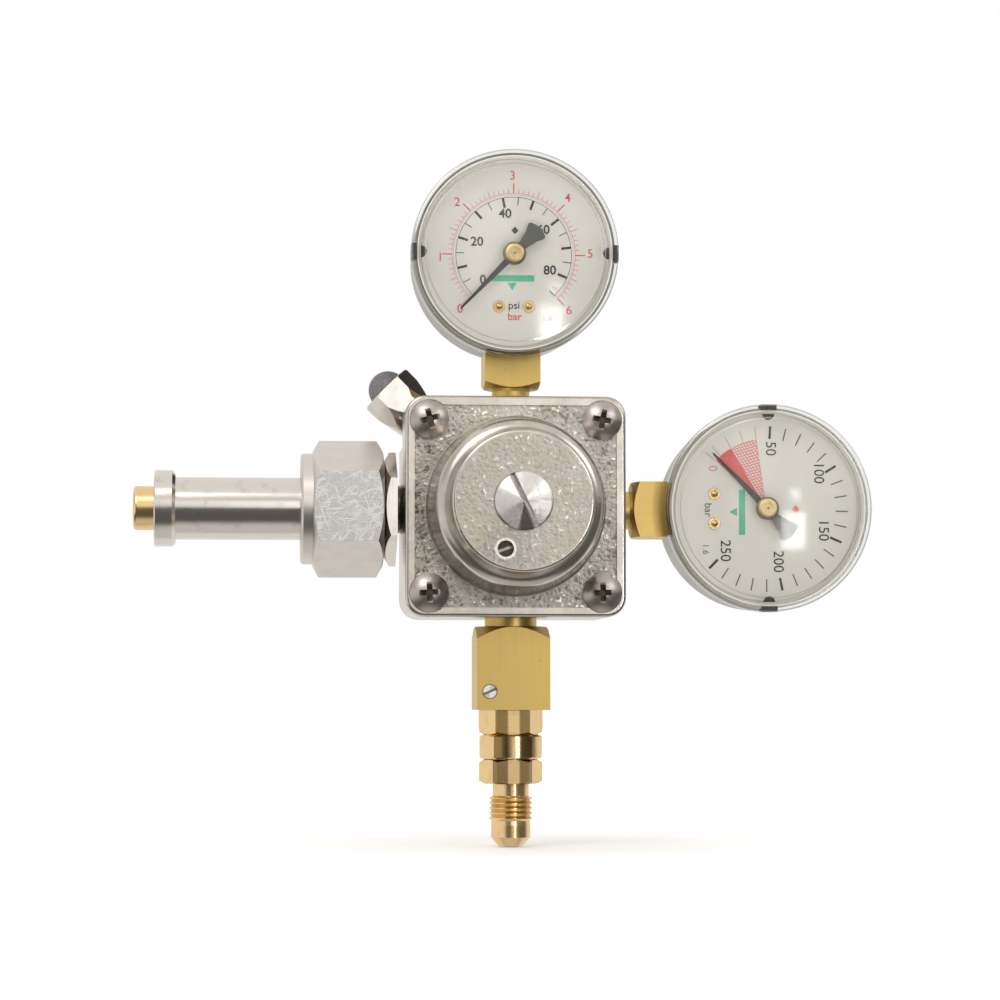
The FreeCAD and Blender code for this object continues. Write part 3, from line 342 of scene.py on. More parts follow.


# The small screw in the outlet block: a dark edge, and painted shade in its slot. Its darker sectors are
# painted, not reflected, and a sectorShade of 0 removes them.
slottedLook = {
    "face": rgb(0.88, 0.86, 0.83),
    "mottle": rgb(0.60, 0.58, 0.54),
    "sector": rgb(0.30, 0.28, 0.25),
    "sectorShade": 0.45,
    "edge": rgb(0.14, 0.115, 0.07),
    "edgeFrom": (0.00145, 0.0018),
    "slotDepth": 0.0002,
}


def slottedSteel():
    paint = material("slottedSteel")
    where, (x, y, z) = paint.place()
    low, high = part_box("block_screw")
    middle = nodeCentre("block_screw")
    across, up = x - middle[0], z - middle[2]
    fromAxis = distance(paint, across, up)
    edge = paint.step(fromAxis, *slottedLook["edgeFrom"])
    slot = y > low[1] + slottedLook["slotDepth"]
    sector = paint.step(across * up / (fromAxis * fromAxis + 0.0000001), -0.1, 0.3)
    cloud = paint.noise(where, 900.0, 3.0)
    colour = paint.blend(cloud * 0.4, slottedLook["face"], slottedLook["mottle"])
    colour = paint.blend(sector * slottedLook["sectorShade"], colour, slottedLook["sector"])
    # The edge and the slot share one dark colour; in the slot it is painted shade.
    colour = paint.blend(paint.math("MAXIMUM", edge, slot) * 0.85, colour, slottedLook["edge"])
    normal = paint.bump(cloud, 0.00003, 0.5)
    return paint.finish(paint.surface(colour, 0.26 + cloud * 0.15, 1.0, normal))


# The vent screw: blackened, with a brighter slot.
ventLook = {
    "black": rgb(0.055, 0.048, 0.032),
    "rubbed": rgb(0.14, 0.12, 0.09),
    "slot": rgb(0.62, 0.60, 0.52),
    "slotRadius": 0.0021,
    "slotDepths": (0.0002, 0.0016),
}


def ventSteel():
    paint = material("ventSteel")
    where, (x, y, z) = paint.place()
    low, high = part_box("vent_screw")
    middle = nodeCentre("vent_screw")
    fromAxis = distance(paint, x - middle[0], z - middle[2])
    top, bottom = ventLook["slotDepths"]
    slot = (y > low[1] + top) * (fromAxis < ventLook["slotRadius"]) * (y < low[1] + bottom)
    cloud = paint.noise(where, 700.0, 3.0)
    colour = paint.blend(cloud * 0.4, ventLook["black"], ventLook["rubbed"])
    colour = paint.blend(slot * 0.85, colour, ventLook["slot"])
    normal = paint.bump(cloud, 0.00003, 0.5)
    return paint.finish(paint.surface(colour, 0.34 + cloud * 0.15, 1.0, normal))


# Brass: a satin bar-stock look for blocks, a bright one for turned fittings. The dark stripes on the
# front flats of the two hexagons are painted, not reflected, and a stripeShade of 0 removes them.
brassLook = {
    "satin": rgb(0.70, 0.495, 0.155),
    "satinPale": rgb(0.66, 0.49, 0.22),
    "satinDark": rgb(0.42, 0.285, 0.085),
    "bright": rgb(0.80, 0.585, 0.30),
    "brightDark": rgb(0.50, 0.34, 0.14),
    "stripe": rgb(0.21, 0.135, 0.045),
    "stripeShade": 0.88,
    "stripeDepth": 0.0016,
    "stripeSide": 0.0002,
    "stripeFrom": (0.0011, 0.0018),
}


def satinBrass(name, along):
    paint = material(name)
    where = paint.place()[0]
    stretch = [1.0, 1.0, 1.0]
    stretch[along] = 0.03
    streaks = paint.noise(where, 1400.0, 3.0, tuple(stretch))
    cloud = paint.noise(where, 150.0, 4.0)
    specks = paint.step(paint.noise(where, 900.0, 2.0), 0.70, 0.76)
    colour = paint.blend(paint.step(cloud, 0.35, 0.75) * 0.45, brassLook["satin"], brassLook["satinPale"])
    colour = paint.blend(streaks * 0.35 + specks * 0.5, colour, brassLook["satinDark"])
    rough = 0.34 + cloud * 0.12
    normal = paint.bump(streaks + cloud * 0.5, 0.00002, 0.45)
    return paint.finish(paint.surface(colour, rough, 1.0, normal))


def brightBrass(name, along, facets=None):
    paint = material(name)
    where, spots = paint.place()
    stretch = [0.02, 0.02, 0.02]
    stretch[along] = 1.0
    lines = paint.noise(where, 4200.0, 2.0, tuple(stretch))
    cloud = paint.noise(where, 240.0, 4.0)
    colour = paint.blend(paint.step(cloud, 0.45, 0.8) * 0.45, brassLook["bright"], brassLook["brightDark"])
    if facets:
        low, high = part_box(facets)
        middle = nodeCentre(facets)
        front = spots[1] < low[1] + brassLook["stripeDepth"]
        aside = abs(spots[0] - middle[0] - brassLook["stripeSide"])
        stripe = front * paint.step(aside, *brassLook["stripeFrom"])
        colour = paint.blend(stripe * brassLook["stripeShade"], colour, brassLook["stripe"])
    rough = 0.15 + cloud * 0.12 + lines * 0.04
    normal = paint.bump(lines + cloud * 0.6, 0.00001, 0.5)
    return paint.finish(paint.surface(colour, rough, 1.0, normal))


# The adjusting screw: rings of fine tool marks. The dark wedge and the brow on its cone are painted, not
# reflected, and a wedgeShade and a browShade of 0 remove them.
conedLook = {
    "bright": rgb(0.74, 0.71, 0.69),
    "dull": rgb(0.50, 0.47, 0.45),
    "shade": rgb(0.11, 0.09, 0.08),
    "wedgeShade": 0.92,
    "browShade": 0.3,
    "rings": 42000.0,
}


def conedSteel():
    paint = material("conedSteel")
    where, (x, y, z) = paint.place()
    centre = nodeCentre("adjusting_screw")
    fromAxis = distance(paint, x - centre[0], z - centre[2])
    rings = paint.math("SINE", fromAxis * conedLook["rings"])
    cloud = paint.noise(where, 420.0, 4.0)
    colour = paint.blend(paint.step(cloud, 0.4, 0.8) * 0.5, conedLook["bright"], conedLook["dull"])
    around = (x - centre[0]) / paint.math("MAXIMUM", fromAxis, 0.0001)
    below = (z - centre[2]) / paint.math("MAXIMUM", fromAxis, 0.0001)
    wedge = paint.step(abs(around - 0.12), 0.42, 0.22) * paint.step(below, -0.4, -0.6)
    brow = paint.step(abs(around + 0.45), 0.35, 0.1) * paint.step(below, 0.3, 0.6)
    shade = wedge * conedLook["wedgeShade"] + brow * conedLook["browShade"]
    colour = paint.blend(shade, colour, conedLook["shade"])
    normal = paint.bump(rings * 0.5 + cloud, 0.000018, 0.8)
    return paint.finish(paint.surface(colour, 0.2 + cloud * 0.12, 1.0, normal))


# The pointer's brass hub: satin face, dark edge ring and a dark centre punch.
hubLook = {
    "bright": rgb(0.95, 0.74, 0.40),
    "dull": rgb(0.74, 0.54, 0.26),
    "edge": rgb(0.16, 0.115, 0.05),
    "punch": rgb(0.02, 0.015, 0.01),
    "edgeFrom": (0.00225, 0.00245),
    "punchFrom": (0.00028, 0.00016),
    "rings": 30000.0,
}


def hubBrass(name, hub):
    paint = material(name)
    where, (x, y, z) = paint.place()
    fromHub = distance(paint, x - hub[0], z - hub[2])
    cloud = paint.noise(where, 700.0, 4.0)
    ring = paint.step(fromHub, *hubLook["edgeFrom"])
    punch = paint.step(fromHub, *hubLook["punchFrom"])
    colour = paint.blend(cloud * 0.4, hubLook["bright"], hubLook["dull"])
    colour = paint.blend(ring * 0.8, colour, hubLook["edge"])
    colour = paint.blend(punch, colour, hubLook["punch"])
    rings = paint.math("SINE", fromHub * hubLook["rings"])
    normal = paint.bump(rings * 0.4 + cloud, 0.00002, 0.6)
    return paint.finish(paint.surface(colour, 0.38 + cloud * 0.12, 1.0, normal))


# Drawn steel gauge case, painted pale inside.
caseLook = {
    "steel": rgb(0.31, 0.30, 0.28),
    "dark": rgb(0.21, 0.20, 0.19),
    "inside": rgb(0.84, 0.83, 0.80),
    "bore": 0.0246,
    "backWall": 0.009,
}


def caseSteel(name, hub):
    paint = material(name)
    where, (x, y, z) = paint.place()
    lines = paint.noise(where, 2200.0, 2.0, (0.04, 1.0, 0.04))
    cloud = paint.noise(where, 120.0, 4.0)
    colour = paint.blend(paint.step(cloud, 0.35, 0.8) * 0.4, caseLook["steel"], caseLook["dark"])
    fromHub = distance(paint, x - hub[0], z - hub[2])
    inside = (y < caseLook["backWall"]) * (fromHub < caseLook["bore"])
    colour = paint.blend(inside, colour, caseLook["inside"])
    normal = paint.bump(lines + cloud, 0.00002, 0.4)
    return paint.finish(paint.surface(colour, 0.27 + cloud * 0.12 + inside * 0.3, 1.0 - inside, normal))


# The relief cap: matte grey with a fine powdery grain.
capLook = {"dark": rgb(0.115, 0.11, 0.115), "pale": rgb(0.21, 0.20, 0.205), "dust": rgb(0.30, 0.285, 0.285)}


def capGrey():
    paint = material("capGrey")
    where = paint.place()[0]
    fine = paint.noise(where, 2400.0, 3.0)
    cloud = paint.noise(where, 420.0, 3.0)
    colour = paint.blend(paint.step(fine, 0.35, 0.7), capLook["dark"], capLook["pale"])
    colour = paint.blend(paint.step(cloud, 0.5, 0.75) * 0.35, colour, capLook["dust"])
    normal = paint.bump(fine, 0.00007, 0.6)
    return paint.finish(paint.surface(colour, 0.62 + fine * 0.2, 0.25, normal))


def dullSolid(name, colour, rough, scale=900.0, depth=0.00004, metal=0.0):
    paint = material(name)
    where = paint.place()[0]
    fine = paint.noise(where, scale, 3.0)
    cloud = paint.noise(where, 150.0, 3.0)
    darker = rgb(colour[0] * 0.72, colour[1] * 0.72, colour[2] * 0.72)
    shade = paint.blend(paint.step(cloud, 0.4, 0.8) * 0.5 + fine * 0.15, colour, darker)
    normal = paint.bump(fine, depth, 0.35)
    return paint.finish(paint.surface(shade, rough + cloud * 0.12, metal, normal))


# Off-white dial paint, slightly uneven.
dialTones = {"paint": rgb(0.62, 0.605, 0.575), "aged": rgb(0.565, 0.55, 0.52)}


def dialPaint():
    paint = material("dialPaint")
    where = paint.place()[0]
    cloud = paint.noise(where, 60.0, 4.0)
    fine = paint.noise(where, 3000.0, 2.0)
    colour = paint.blend(paint.step(cloud, 0.3, 0.8) * 0.5, dialTones["paint"], dialTones["aged"])
    normal = paint.bump(fine, 0.00001, 0.3)
    return paint.finish(paint.surface(colour, 0.5 + cloud * 0.1, 0.0, normal))


# Pointer: near black blade, worn grey spade.
pointerLook = {
    "blade": rgb(0.018, 0.024, 0.022),
    "spade": rgb(0.095, 0.097, 0.088),
    "worn": rgb(0.05, 0.055, 0.05),
    "spadeFrom": (0.001, 0.003),
}


def pointerPaint(name, hub, tailAngle):
    paint = material(name)
    where, (x, y, z) = paint.place()
    reach = (x - hub[0]) * math.cos(tailAngle) + (z - hub[2]) * math.sin(tailAngle)
    tail = paint.step(reach, *pointerLook["spadeFrom"])
    cloud = paint.noise(where, 300.0, 3.0)
    colour = paint.blend(tail, pointerLook["blade"], pointerLook["spade"])
    colour = paint.blend(cloud * 0.3, colour, pointerLook["worn"])
    normal = paint.bump(cloud, 0.00002, 0.3)
    return paint.finish(paint.surface(colour, 0.42 + cloud * 0.15, 0.0, normal))


# Clear plastic: light passes through it. Its front and its outer wall also mirror, more at a glancing
# angle and round the rim.
lensLook = {
    "tint": rgb(0.912, 0.912, 0.902),
    "index": 1.49,
    "rough": 0.11,
    "mirror": rgb(0.95, 0.95, 0.94),
    "smear": rgb(0.9, 0.9, 0.89),
    "rimFrom": (0.0226, 0.0238),
    "innerLine": (0.0226, 0.00008),
    "outerLine": (0.02455, 0.00009),
    "rimGloss": 0.20,
    "lineGloss": 0.5,
    "frontDepth": 0.0022,
    "outerWall": 0.0257,
    "wallGloss": 0.55,
    "wallTint": rgb(0.40, 0.39, 0.375),
}


def clearPlastic(node, hub, tilt):
    paint = material(node)
    where, (x, y, z) = paint.place()
    fromHub = distance(paint, x - hub[0], z - hub[2])
    rim = paint.step(fromHub, *lensLook["rimFrom"])
    (innerAt, innerHalf), (outerAt, outerHalf) = lensLook["innerLine"], lensLook["outerLine"]
    lines = paint.math("MAXIMUM", abs(fromHub - innerAt) < innerHalf, abs(fromHub - outerAt) < outerHalf)
    wall = fromHub > lensLook["outerWall"]
    smear = paint.noise(where, 70.0, 3.0)
    fine = paint.noise(where, 1200.0, 2.0)
    clear = paint.wire("BsdfTransparent", {}, {"Color": lensLook["tint"]}, "BSDF")
    normal = paint.bump(smear + fine * 0.05, 0.00004, 0.25)
    normal = paint.wire("VectorMath", {"operation": "ADD"}, {0: normal, 1: tilt})
    normal = paint.wire("VectorMath", {"operation": "NORMALIZE"}, {0: normal})
    rough = lensLook["rough"] + paint.step(smear, 0.5, 0.8) * 0.05
    colour = paint.blend(smear * 0.1, lensLook["mirror"], lensLook["smear"])
    colour = paint.blend(wall, colour, lensLook["wallTint"])
    gloss = paint.surface(colour, rough, 1.0, normal)
    share = paint.wire("Fresnel", {}, {"IOR": lensLook["index"]}, "Fac")
    share = paint.math("ADD", share, rim * lensLook["rimGloss"] + lines * lensLook["lineGloss"], True)
    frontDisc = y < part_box(node)[0][1] + lensLook["frontDepth"]
    outside = 1.0 - paint.wire("NewGeometry", {}, {}, "Backfacing")
    share = paint.math("MAXIMUM", share * frontDisc, wall * lensLook["wallGloss"]) * outside
    return paint.finish(paint.wire("MixShader", {}, {0: share, 1: clear, 2: gloss}, "Shader"))


# Ink printed on the dials.
def ink(name, colour):
    paint = material(name)
    where = paint.place()[0]
    fine = paint.noise(where, 1600.0, 3.0)
    colour = paint.blend(paint.step(fine, 0.5, 0.8) * 0.25, colour, dialTones["aged"])
    normal = paint.bump(fine, 0.00001, 0.3)
    return paint.finish(paint.surface(colour, 0.45 + fine * 0.1, 0.0, normal))


# Pink cross hatching over the dial paint.
hatchLook = {
    "paper": rgb(0.62, 0.57, 0.53),
    "line": rgb(0.60, 0.13, 0.13),
    "pitch": 0.00072,
    "lineFrom": 0.35,
}


def hatchInk(name):
    paint = material(name)
    where, (x, y, z) = paint.place()
    pitch, lineFrom = hatchLook["pitch"], hatchLook["lineFrom"]
    first = paint.math("FRACT", (x * 0.82 + z * 0.57) / pitch)
    second = paint.math("FRACT", (x * 0.30 - z * 0.95) / pitch)
    lines = paint.math("MAXIMUM", abs(first - 0.5) > lineFrom, abs(second - 0.5) > lineFrom)
    colour = paint.blend(lines, hatchLook["paper"], hatchLook["line"])
    normal = paint.bump(paint.noise(where, 1600.0), 0.00001, 0.3)
    return paint.finish(paint.surface(colour, 0.45 + lines * 0.1, 0.0, normal))


# A tail angle is where the pointer's spade lies at rest, and a tilt leans the lens's normal, which moves the
# window's reflection in it.
gauges = {
    "outlet_gauge": {
        "turn": 0.0,
        "tail": math.radians(46.0),
        "tilt": (0.057, 0.0, 0.024),
    },
    "cylinder_gauge": {
        "turn": math.radians(90.0),
        "tail": math.radians(44.5 - 90.0),
        "tilt": (0.0, 0.0, 0.0),
    },
}
for prefix, gauge in gauges.items():
    gauge["hub"] = nodeCentre(prefix + "_pointer_arbor")
    low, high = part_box(prefix + "_dial")
    gauge["face"] = low[1]
    move = Matrix.Translation((gauge["hub"][0], 0.0, gauge["hub"][2]))
    gauge["matrix"] = move @ Matrix.Rotation(gauge["turn"], 4, "Y")


def assign(name, look):
    slots = nodes[name].data.materials
    slots.clear()
    slots.append(look)


cast = castNickel()
turnedX = turnedNickel("turnedNickelX", 0)
turnedY = turnedNickel("turnedNickelY", 1, 0.24)
bright = turnedNickel("brightNickel", 1, 0.1)
steel = plainSteel("springSteel", rgb(0.42, 0.42, 0.43), 0.3)
screwBright = slottedSteel()
screwDull = ventSteel()
brassBlock = satinBrass("satinBrassZ", 2)
brassSide = satinBrass("satinBrassX", 0)
brassTurnedX = brightBrass("brightBrassX", 0)
brassTurnedY = brightBrass("brightBrassY", 1)
dialLook = dialPaint()
blackRubber = dullSolid("blackRubber", rgb(0.035, 0.035, 0.035), 0.6)
rubberCloth = dullSolid("rubberCloth", rgb(0.06, 0.055, 0.05), 0.65, 1500.0, 0.00008)
whiteSeat = dullSolid("whiteSeat", rgb(0.72, 0.72, 0.69), 0.4)
bronze = dullSolid("sinteredBronze", rgb(0.42, 0.26, 0.13), 0.5, 2600.0, 0.00012, 0.9)

looks = {
    "body": cast,
    "bonnet": cast,
    "flange_screws": screwSteel(),
    "adjusting_screw": conedSteel(),
    "vent_screw": screwDull,
    "block_screw": screwBright,
    "union_nut": nutNickel(),
    "inlet_stem": turnedX,
    "lock_nut": turnedX,
    "slip_washer": turnedX,
    "relief_body": bright,
    "relief_cap": capGrey(),
    "spring_button": turnedY,
    "diaphragm_plate": brassTurnedY,
    "diaphragm": rubberCloth,
    "seat_disc": whiteSeat,
    "inlet_filter": bronze,
    "inlet_nose": brassTurnedX,
    "outlet_block": brassBlock,
    "check_valve_body": brightBrass("checkBrass", 2, "check_valve_body"),
    "flare_outlet": brightBrass("flareBrass", 2, "flare_outlet"),
    "seat_nozzle": brassTurnedY,
    "valve_poppet": brassTurnedY,
    "relief_poppet": brassTurnedY,
}
for name in ("main_spring", "poppet_spring", "relief_spring", "check_spring", "check_ball"):
    looks[name] = steel
for prefix, gauge in gauges.items():
    looks[prefix + "_case"] = caseSteel(prefix + "Case", gauge["hub"])
    looks[prefix + "_blowout_plug"] = blackRubber
    looks[prefix + "_lens"] = clearPlastic(prefix + "_lens", gauge["hub"], gauge["tilt"])
    looks[prefix + "_dial"] = dialLook
    looks[prefix + "_dial_screws"] = brassTurnedY
    looks[prefix + "_socket"] = brassSide if gauge["turn"] else brassBlock
    looks[prefix + "_bourdon_tube"] = brassTurnedY
    looks[prefix + "_movement_frame"] = brassBlock
    looks[prefix + "_pointer_arbor"] = brassTurnedY
    looks[prefix + "_sector_gear"] = brassBlock
    looks[prefix + "_link"] = brassBlock
    looks[prefix + "_pointer_hub"] = hubBrass(prefix + "Hub", gauge["hub"])
    looks[prefix + "_pointer"] = pointerPaint(prefix + "Pointer", gauge["hub"], gauge["tail"])
for name in nodes:
    if name in looks:
        assign(name, looks[name])
    else:
        print("no look for", name)
print("materials done")


def only(*things):
    bpy.ops.object.select_all(action="DESELECT")
    for thing in things:
        thing.select_set(True)
    bpy.context.view_layer.objects.active = things[0]


def joined(name, things):
    only(*things)
    if len(things) > 1:
        bpy.ops.object.join()
    whole = bpy.context.view_layer.objects.active
    whole.name = name
    whole.data.name = name
    return whole


def copied(thing, matrix):
    twin = thing.copy()
    twin.data = thing.data.copy()
    twin.data.transform(matrix)
    bpy.context.scene.collection.objects.link(twin)
    return twin


def dropped(thing):
    bpy.data.objects.remove(thing, do_unlink=True)


def applied(thing):
    only(thing)
    bpy.ops.object.transform_apply(location=True, rotation=True, scale=True)
    return thing


# A flat mark from 0 to 1 along X and a half either side in Z, facing the reader.
def flatMark():
    bpy.ops.mesh.primitive_plane_add(size=1.0, location=(0.5, 0.0, 0.0), rotation=(math.pi / 2, 0.0, 0.0))
    return applied(bpy.context.object)


def tick(mark, angle, inner, outer, width, front):
    size = Matrix.Diagonal(((outer - inner) * mm, 1.0, width * mm, 1.0))
    slide = Matrix.Translation((inner * mm, front, 0.0))
    spin = Matrix.Rotation(-math.radians(angle), 4, "Y")
    return copied(mark, spin @ slide @ size)


# A band swept round the hub from one angle to another, clockwise as read, with one step for every few
# degrees.
degreesPerStep = 2.5


def band(start, end, inner, outer, front):
    bpy.ops.mesh.primitive_plane_add(size=1.0)
    strip = bpy.context.object
    bpy.ops.object.mode_set(mode="EDIT")
    bpy.ops.mesh.select_all(action="DESELECT")
    bpy.ops.object.mode_set(mode="OBJECT")
    for vertex in strip.data.vertices:
        vertex.select = vertex.co.y > 0
    bpy.ops.object.mode_set(mode="EDIT")
    bpy.ops.mesh.select_mode(type="VERT")
    bpy.ops.mesh.delete(type="VERT")
    bpy.ops.object.mode_set(mode="OBJECT")
    for vertex in strip.data.vertices:
        reach = outer if vertex.co.x > 0 else inner
        vertex.co = Vector((reach * mm, front, 0.0))
    strip.data.transform(Matrix.Rotation(-math.radians(start), 4, "Y"))
    bpy.ops.object.mode_set(mode="EDIT")
    bpy.ops.mesh.select_all(action="SELECT")
    steps = max(4, round(abs(start - end) / degreesPerStep))
    bpy.ops.mesh.spin(steps=steps, angle=math.radians(end - start), center=(0, 0, 0), axis=(0, 1, 0))
    bpy.ops.object.mode_set(mode="OBJECT")
    return strip


# The height of a capital, as a share of the size of the default font.
capitalShare = 0.70


def lettering(words, height, where, front, boldness=0.0):
    bpy.ops.object.text_add()
    text = bpy.context.object
    text.data.body = words
    text.data.align_x = "CENTER"
    text.data.align_y = "CENTER"
    text.data.offset = boldness
    text.data.resolution_u = 6
    only(text)
    bpy.ops.object.convert(target="MESH")
    flat = bpy.context.object
    tall = [vertex.co.y for vertex in flat.data.vertices]
    wide = [vertex.co.x for vertex in flat.data.vertices]
    scale = height * mm / capitalShare
    middle = Vector((-(max(wide) + min(wide)) / 2, -(max(tall) + min(tall)) / 2, 0.0))
    stand = Matrix.Rotation(math.pi / 2, 4, "X")
    at = Matrix.Translation((where[0] * mm, front, where[1] * mm))
    flat.data.transform(at @ stand @ Matrix.Scale(scale, 4) @ Matrix.Translation(middle))
    return flat


def printed(name, things, gauge, look):
    piece = joined(name, things)
    piece.data.transform(gauge["matrix"])
    piece.data.materials.clear()
    piece.data.materials.append(look)
    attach(piece, "valve_body")
    return piece


inks = {
    "black": ink("inkBlack", rgb(0.030, 0.030, 0.030)),
    "grey": ink("inkGrey", rgb(0.10, 0.10, 0.095)),
    "red": ink("inkRed", rgb(0.60, 0.085, 0.085)),
    "paleRed": ink("inkPaleRed", rgb(0.62, 0.20, 0.205)),
    "green": ink("inkGreen", rgb(0.085, 0.42, 0.26)),
    "hatch": hatchInk("inkHatch"),
}

# Low pressure dial: black scale inside, red scale outside.
lowDial = {
    "start": 225.0,
    "end": -45.0,
    "blackTop": 87.0,
    "redTop": 6.0,
    "blackRadius": 14.65,
    "redRadius": 15.65,
    "blackNumbers": ((0, -7.8, -6.35), (20, -9.3, 3.3), (40, -2.2, 10.5), (60, 7.55, 6.55), (80, 9.15, -3.8)),
    "redNumbers": ((0, -13.55, -13.8), (1, -18.6, -0.8), (2, -14.3, 13.3), (3, -0.3, 20.2), (4, 13.7, 14.7),
                   (5, 19.4, 0.5), (6, 14.0, -13.9)),
    "inkGap": 0.00003,
}


# The pale seat ring that closes the gap between a dial and its case.
seatRingSizes = {"inner": 23.1, "outer": 24.35, "behindFace": 0.0004}


def seatRing(prefix, gauge):
    front = gauge["face"] + seatRingSizes["behindFace"]
    ringPiece = band(0.0, 360.0, seatRingSizes["inner"], seatRingSizes["outer"], front)
    printed(prefix.replace("_gauge", "SeatRing"), [ringPiece], gauge, dialLook)


def lowPressureDial(gauge):
    front = gauge["face"] - lowDial["inkGap"]
    mark = flatMark()
    sweep = lowDial["start"] - lowDial["end"]
    black, red, pale = [], [], []
    radius = lowDial["blackRadius"]
    black.append(band(lowDial["start"], lowDial["end"], radius - 0.06, radius + 0.06, front))
    for value in range(0, 86, 5):
        angle = lowDial["start"] - sweep * value / lowDial["blackTop"]
        strong = value % 10 == 0 and value > 0
        length, width = (2.5, 0.62) if strong else (2.1, 0.20)
        black.append(tick(mark, angle, radius - length, radius, width, front))
    black.append(tick(mark, lowDial["end"], radius - 1.9, radius, 0.26, front))
    for value, across, up in lowDial["blackNumbers"]:
        black.append(lettering(str(value), 2.25, (across, up), front, 0.022))
    radius = lowDial["redRadius"]
    pale.append(band(lowDial["start"], lowDial["end"], radius - 0.06, radius + 0.06, front))
    pale.append(band(lowDial["start"], lowDial["end"], radius - 0.40, radius - 0.32, front))
    for value in range(0, 61):
        angle = lowDial["start"] - sweep * value / 60
        if value % 10 == 0:
            red.append(tick(mark, angle, radius, radius + 2.5, 0.30, front))
        elif value % 5 == 0:
            pale.append(tick(mark, angle, radius, radius + 1.8, 0.17, front))
        else:
            pale.append(tick(mark, angle, radius, radius + 1.05, 0.15, front))
    for value, across, up in lowDial["redNumbers"]:
        red.append(lettering(str(value), 2.2, (across, up), front, 0.004))
    black.append(lettering("psi", 1.9, (0.05, -13.2), front, 0.008))
    red.append(lettering("bar", 1.9, (0.3, -15.7), front, 0.012))
    red.append(lettering("1.6", 1.7, (8.7, -15.9), front, 0.012))
    printed("outletDialBlack", black, gauge, inks["black"])
    printed("outletDialRed", red, gauge, inks["red"])
    printed("outletDialPaleRed", pale, gauge, inks["paleRed"])
    badge = [tick(mark, 0.0, -6.3, 5.2, 1.6, front)]
    badge[0].data.transform(Matrix.Translation((0.0, 0.0, -6.0 * mm)))
    badge.append(sign(3, front, (-0.4, -7.8), 1.3, math.pi))
    printed("outletDialBadge", badge, gauge, inks["green"])
    printed("outletDialSign", [sign(4, front, (0.3, 6.2), 0.95)], gauge, inks["black"])
    dropped(mark)


# A small flat sign: four corners for a diamond, or three and half a turn for a triangle that points down.
def sign(corners, front, where, size, turnBy=0.0):
    bpy.ops.mesh.primitive_circle_add(vertices=corners, radius=size * mm, fill_type="NGON")
    shape = bpy.context.object
    turn = Matrix.Rotation(math.pi / 2, 4, "X") @ Matrix.Rotation(turnBy, 4, "Z")
    shape.data.transform(Matrix.Translation((where[0] * mm, front, where[1] * mm)) @ turn)
    return shape


# High pressure dial: one scale of ten-unit ticks, with a red and a hatched sector at its low end.
highDial = {
    "zero": 227.0,
    "ten": 221.0,
    "perTen": 11.04,
    "inner": 17.8,
    "outer": 21.0,
    "numbers": ((50, -15.28, 1.34), (100, -8.93, 13.63), (150, 5.62, 14.78), (200, 13.31, 3.18),
                (250, 10.61, -10.32)),
    "sectorRadius": 17.7,
    "sectorHub": 2.0,
    "sectorEdge": 0.14,
    "inkGap": 0.00003,
}


def highPressureDial(gauge):
    front = gauge["face"] - highDial["inkGap"]
    mark = flatMark()
    black, thin, red = [], [], []
    inner, outer = highDial["inner"], highDial["outer"]
    angles = {0: highDial["zero"]}
    for value in range(10, 251, 10):
        angles[value] = highDial["ten"] - highDial["perTen"] * (value - 10) / 10
    for value, angle in angles.items():
        if value < 50:
            red.append(tick(mark, angle, inner, outer, 0.17, front))
        elif value % 50 == 0:
            black.append(tick(mark, angle, inner, outer, 0.6, front))
        else:
            thin.append(tick(mark, angle, inner, outer, 0.32, front))
    for value, across, up in highDial["numbers"]:
        black.append(lettering(str(value), 2.6, (across, up), front, 0.004))
    red.append(lettering("0", 2.2, (-10.2, -13.5), front, 0.0))
    black.append(lettering("bar", 1.9, (0.4, -14.7), front, 0.0))
    thin.append(lettering("1.6", 1.6, (10.4, -15.4), front, 0.0))
    hub, radius = highDial["sectorHub"], highDial["sectorRadius"]
    edgeInner = radius - highDial["sectorEdge"]
    solid = band(angles[0] - 1.0, angles[20], hub, radius, front)
    edge = band(angles[20], angles[40], edgeInner, radius, front)
    hatch = band(angles[20], angles[40], hub, edgeInner, front)
    red.append(edge)
    red.append(tick(mark, angles[40], hub, inner, 0.17, front - 0.00001))
    printed("cylinderDialBlack", black, gauge, inks["black"])
    printed("cylinderDialGrey", thin, gauge, inks["grey"])
    printed("cylinderDialRed", red, gauge, inks["paleRed"])
    printed("cylinderDialSector", [solid], gauge, inks["red"])
    printed("cylinderDialHatch", [hatch], gauge, inks["hatch"])
    badge = [tick(mark, 0.0, -4.9, 6.6, 1.6, front)]
    badge[0].data.transform(Matrix.Translation((0.0, 0.0, -6.15 * mm)))
    badge.append(sign(3, front, (0.8, -8.05), 1.3, math.pi))
    printed("cylinderDialBadge", badge, gauge, inks["green"])
    printed("cylinderDialSign", [sign(4, front, (0.0, 7.6), 1.0)], gauge, inks["red"])
    dropped(mark)


lowPressureDial(gauges["outlet_gauge"])
highPressureDial(gauges["cylinder_gauge"])
for prefix, gauge in gauges.items():
    seatRing(prefix, gauge)
print("dials printed")

# Dark catches of the lens: a half round inside the rim and a bar that fills the notch of the skirt.
catchSizes = {
    "discAt": 23.7,
    "discRadius": 1.45,
    "discDepth": 0.9,
    "discFront": -13.6,
    "half": 2.0,
    "inner": 24.75,
    "outer": 26.05,
    "step": 25.3,
    "lipFront": -14.55,
    "lipBack": -13.95,
    "tabBack": -10.6,
}


def box(low, high):
    bpy.ops.mesh.primitive_cube_add(size=1.0)
    cube = bpy.context.object
    size = Matrix.Diagonal(tuple(abs(high[k] - low[k]) * mm for k in range(3)) + (1.0,))
    middle = Matrix.Translation(tuple((high[k] + low[k]) / 2 * mm for k in range(3)))
    cube.data.transform(middle @ size)
    return cube


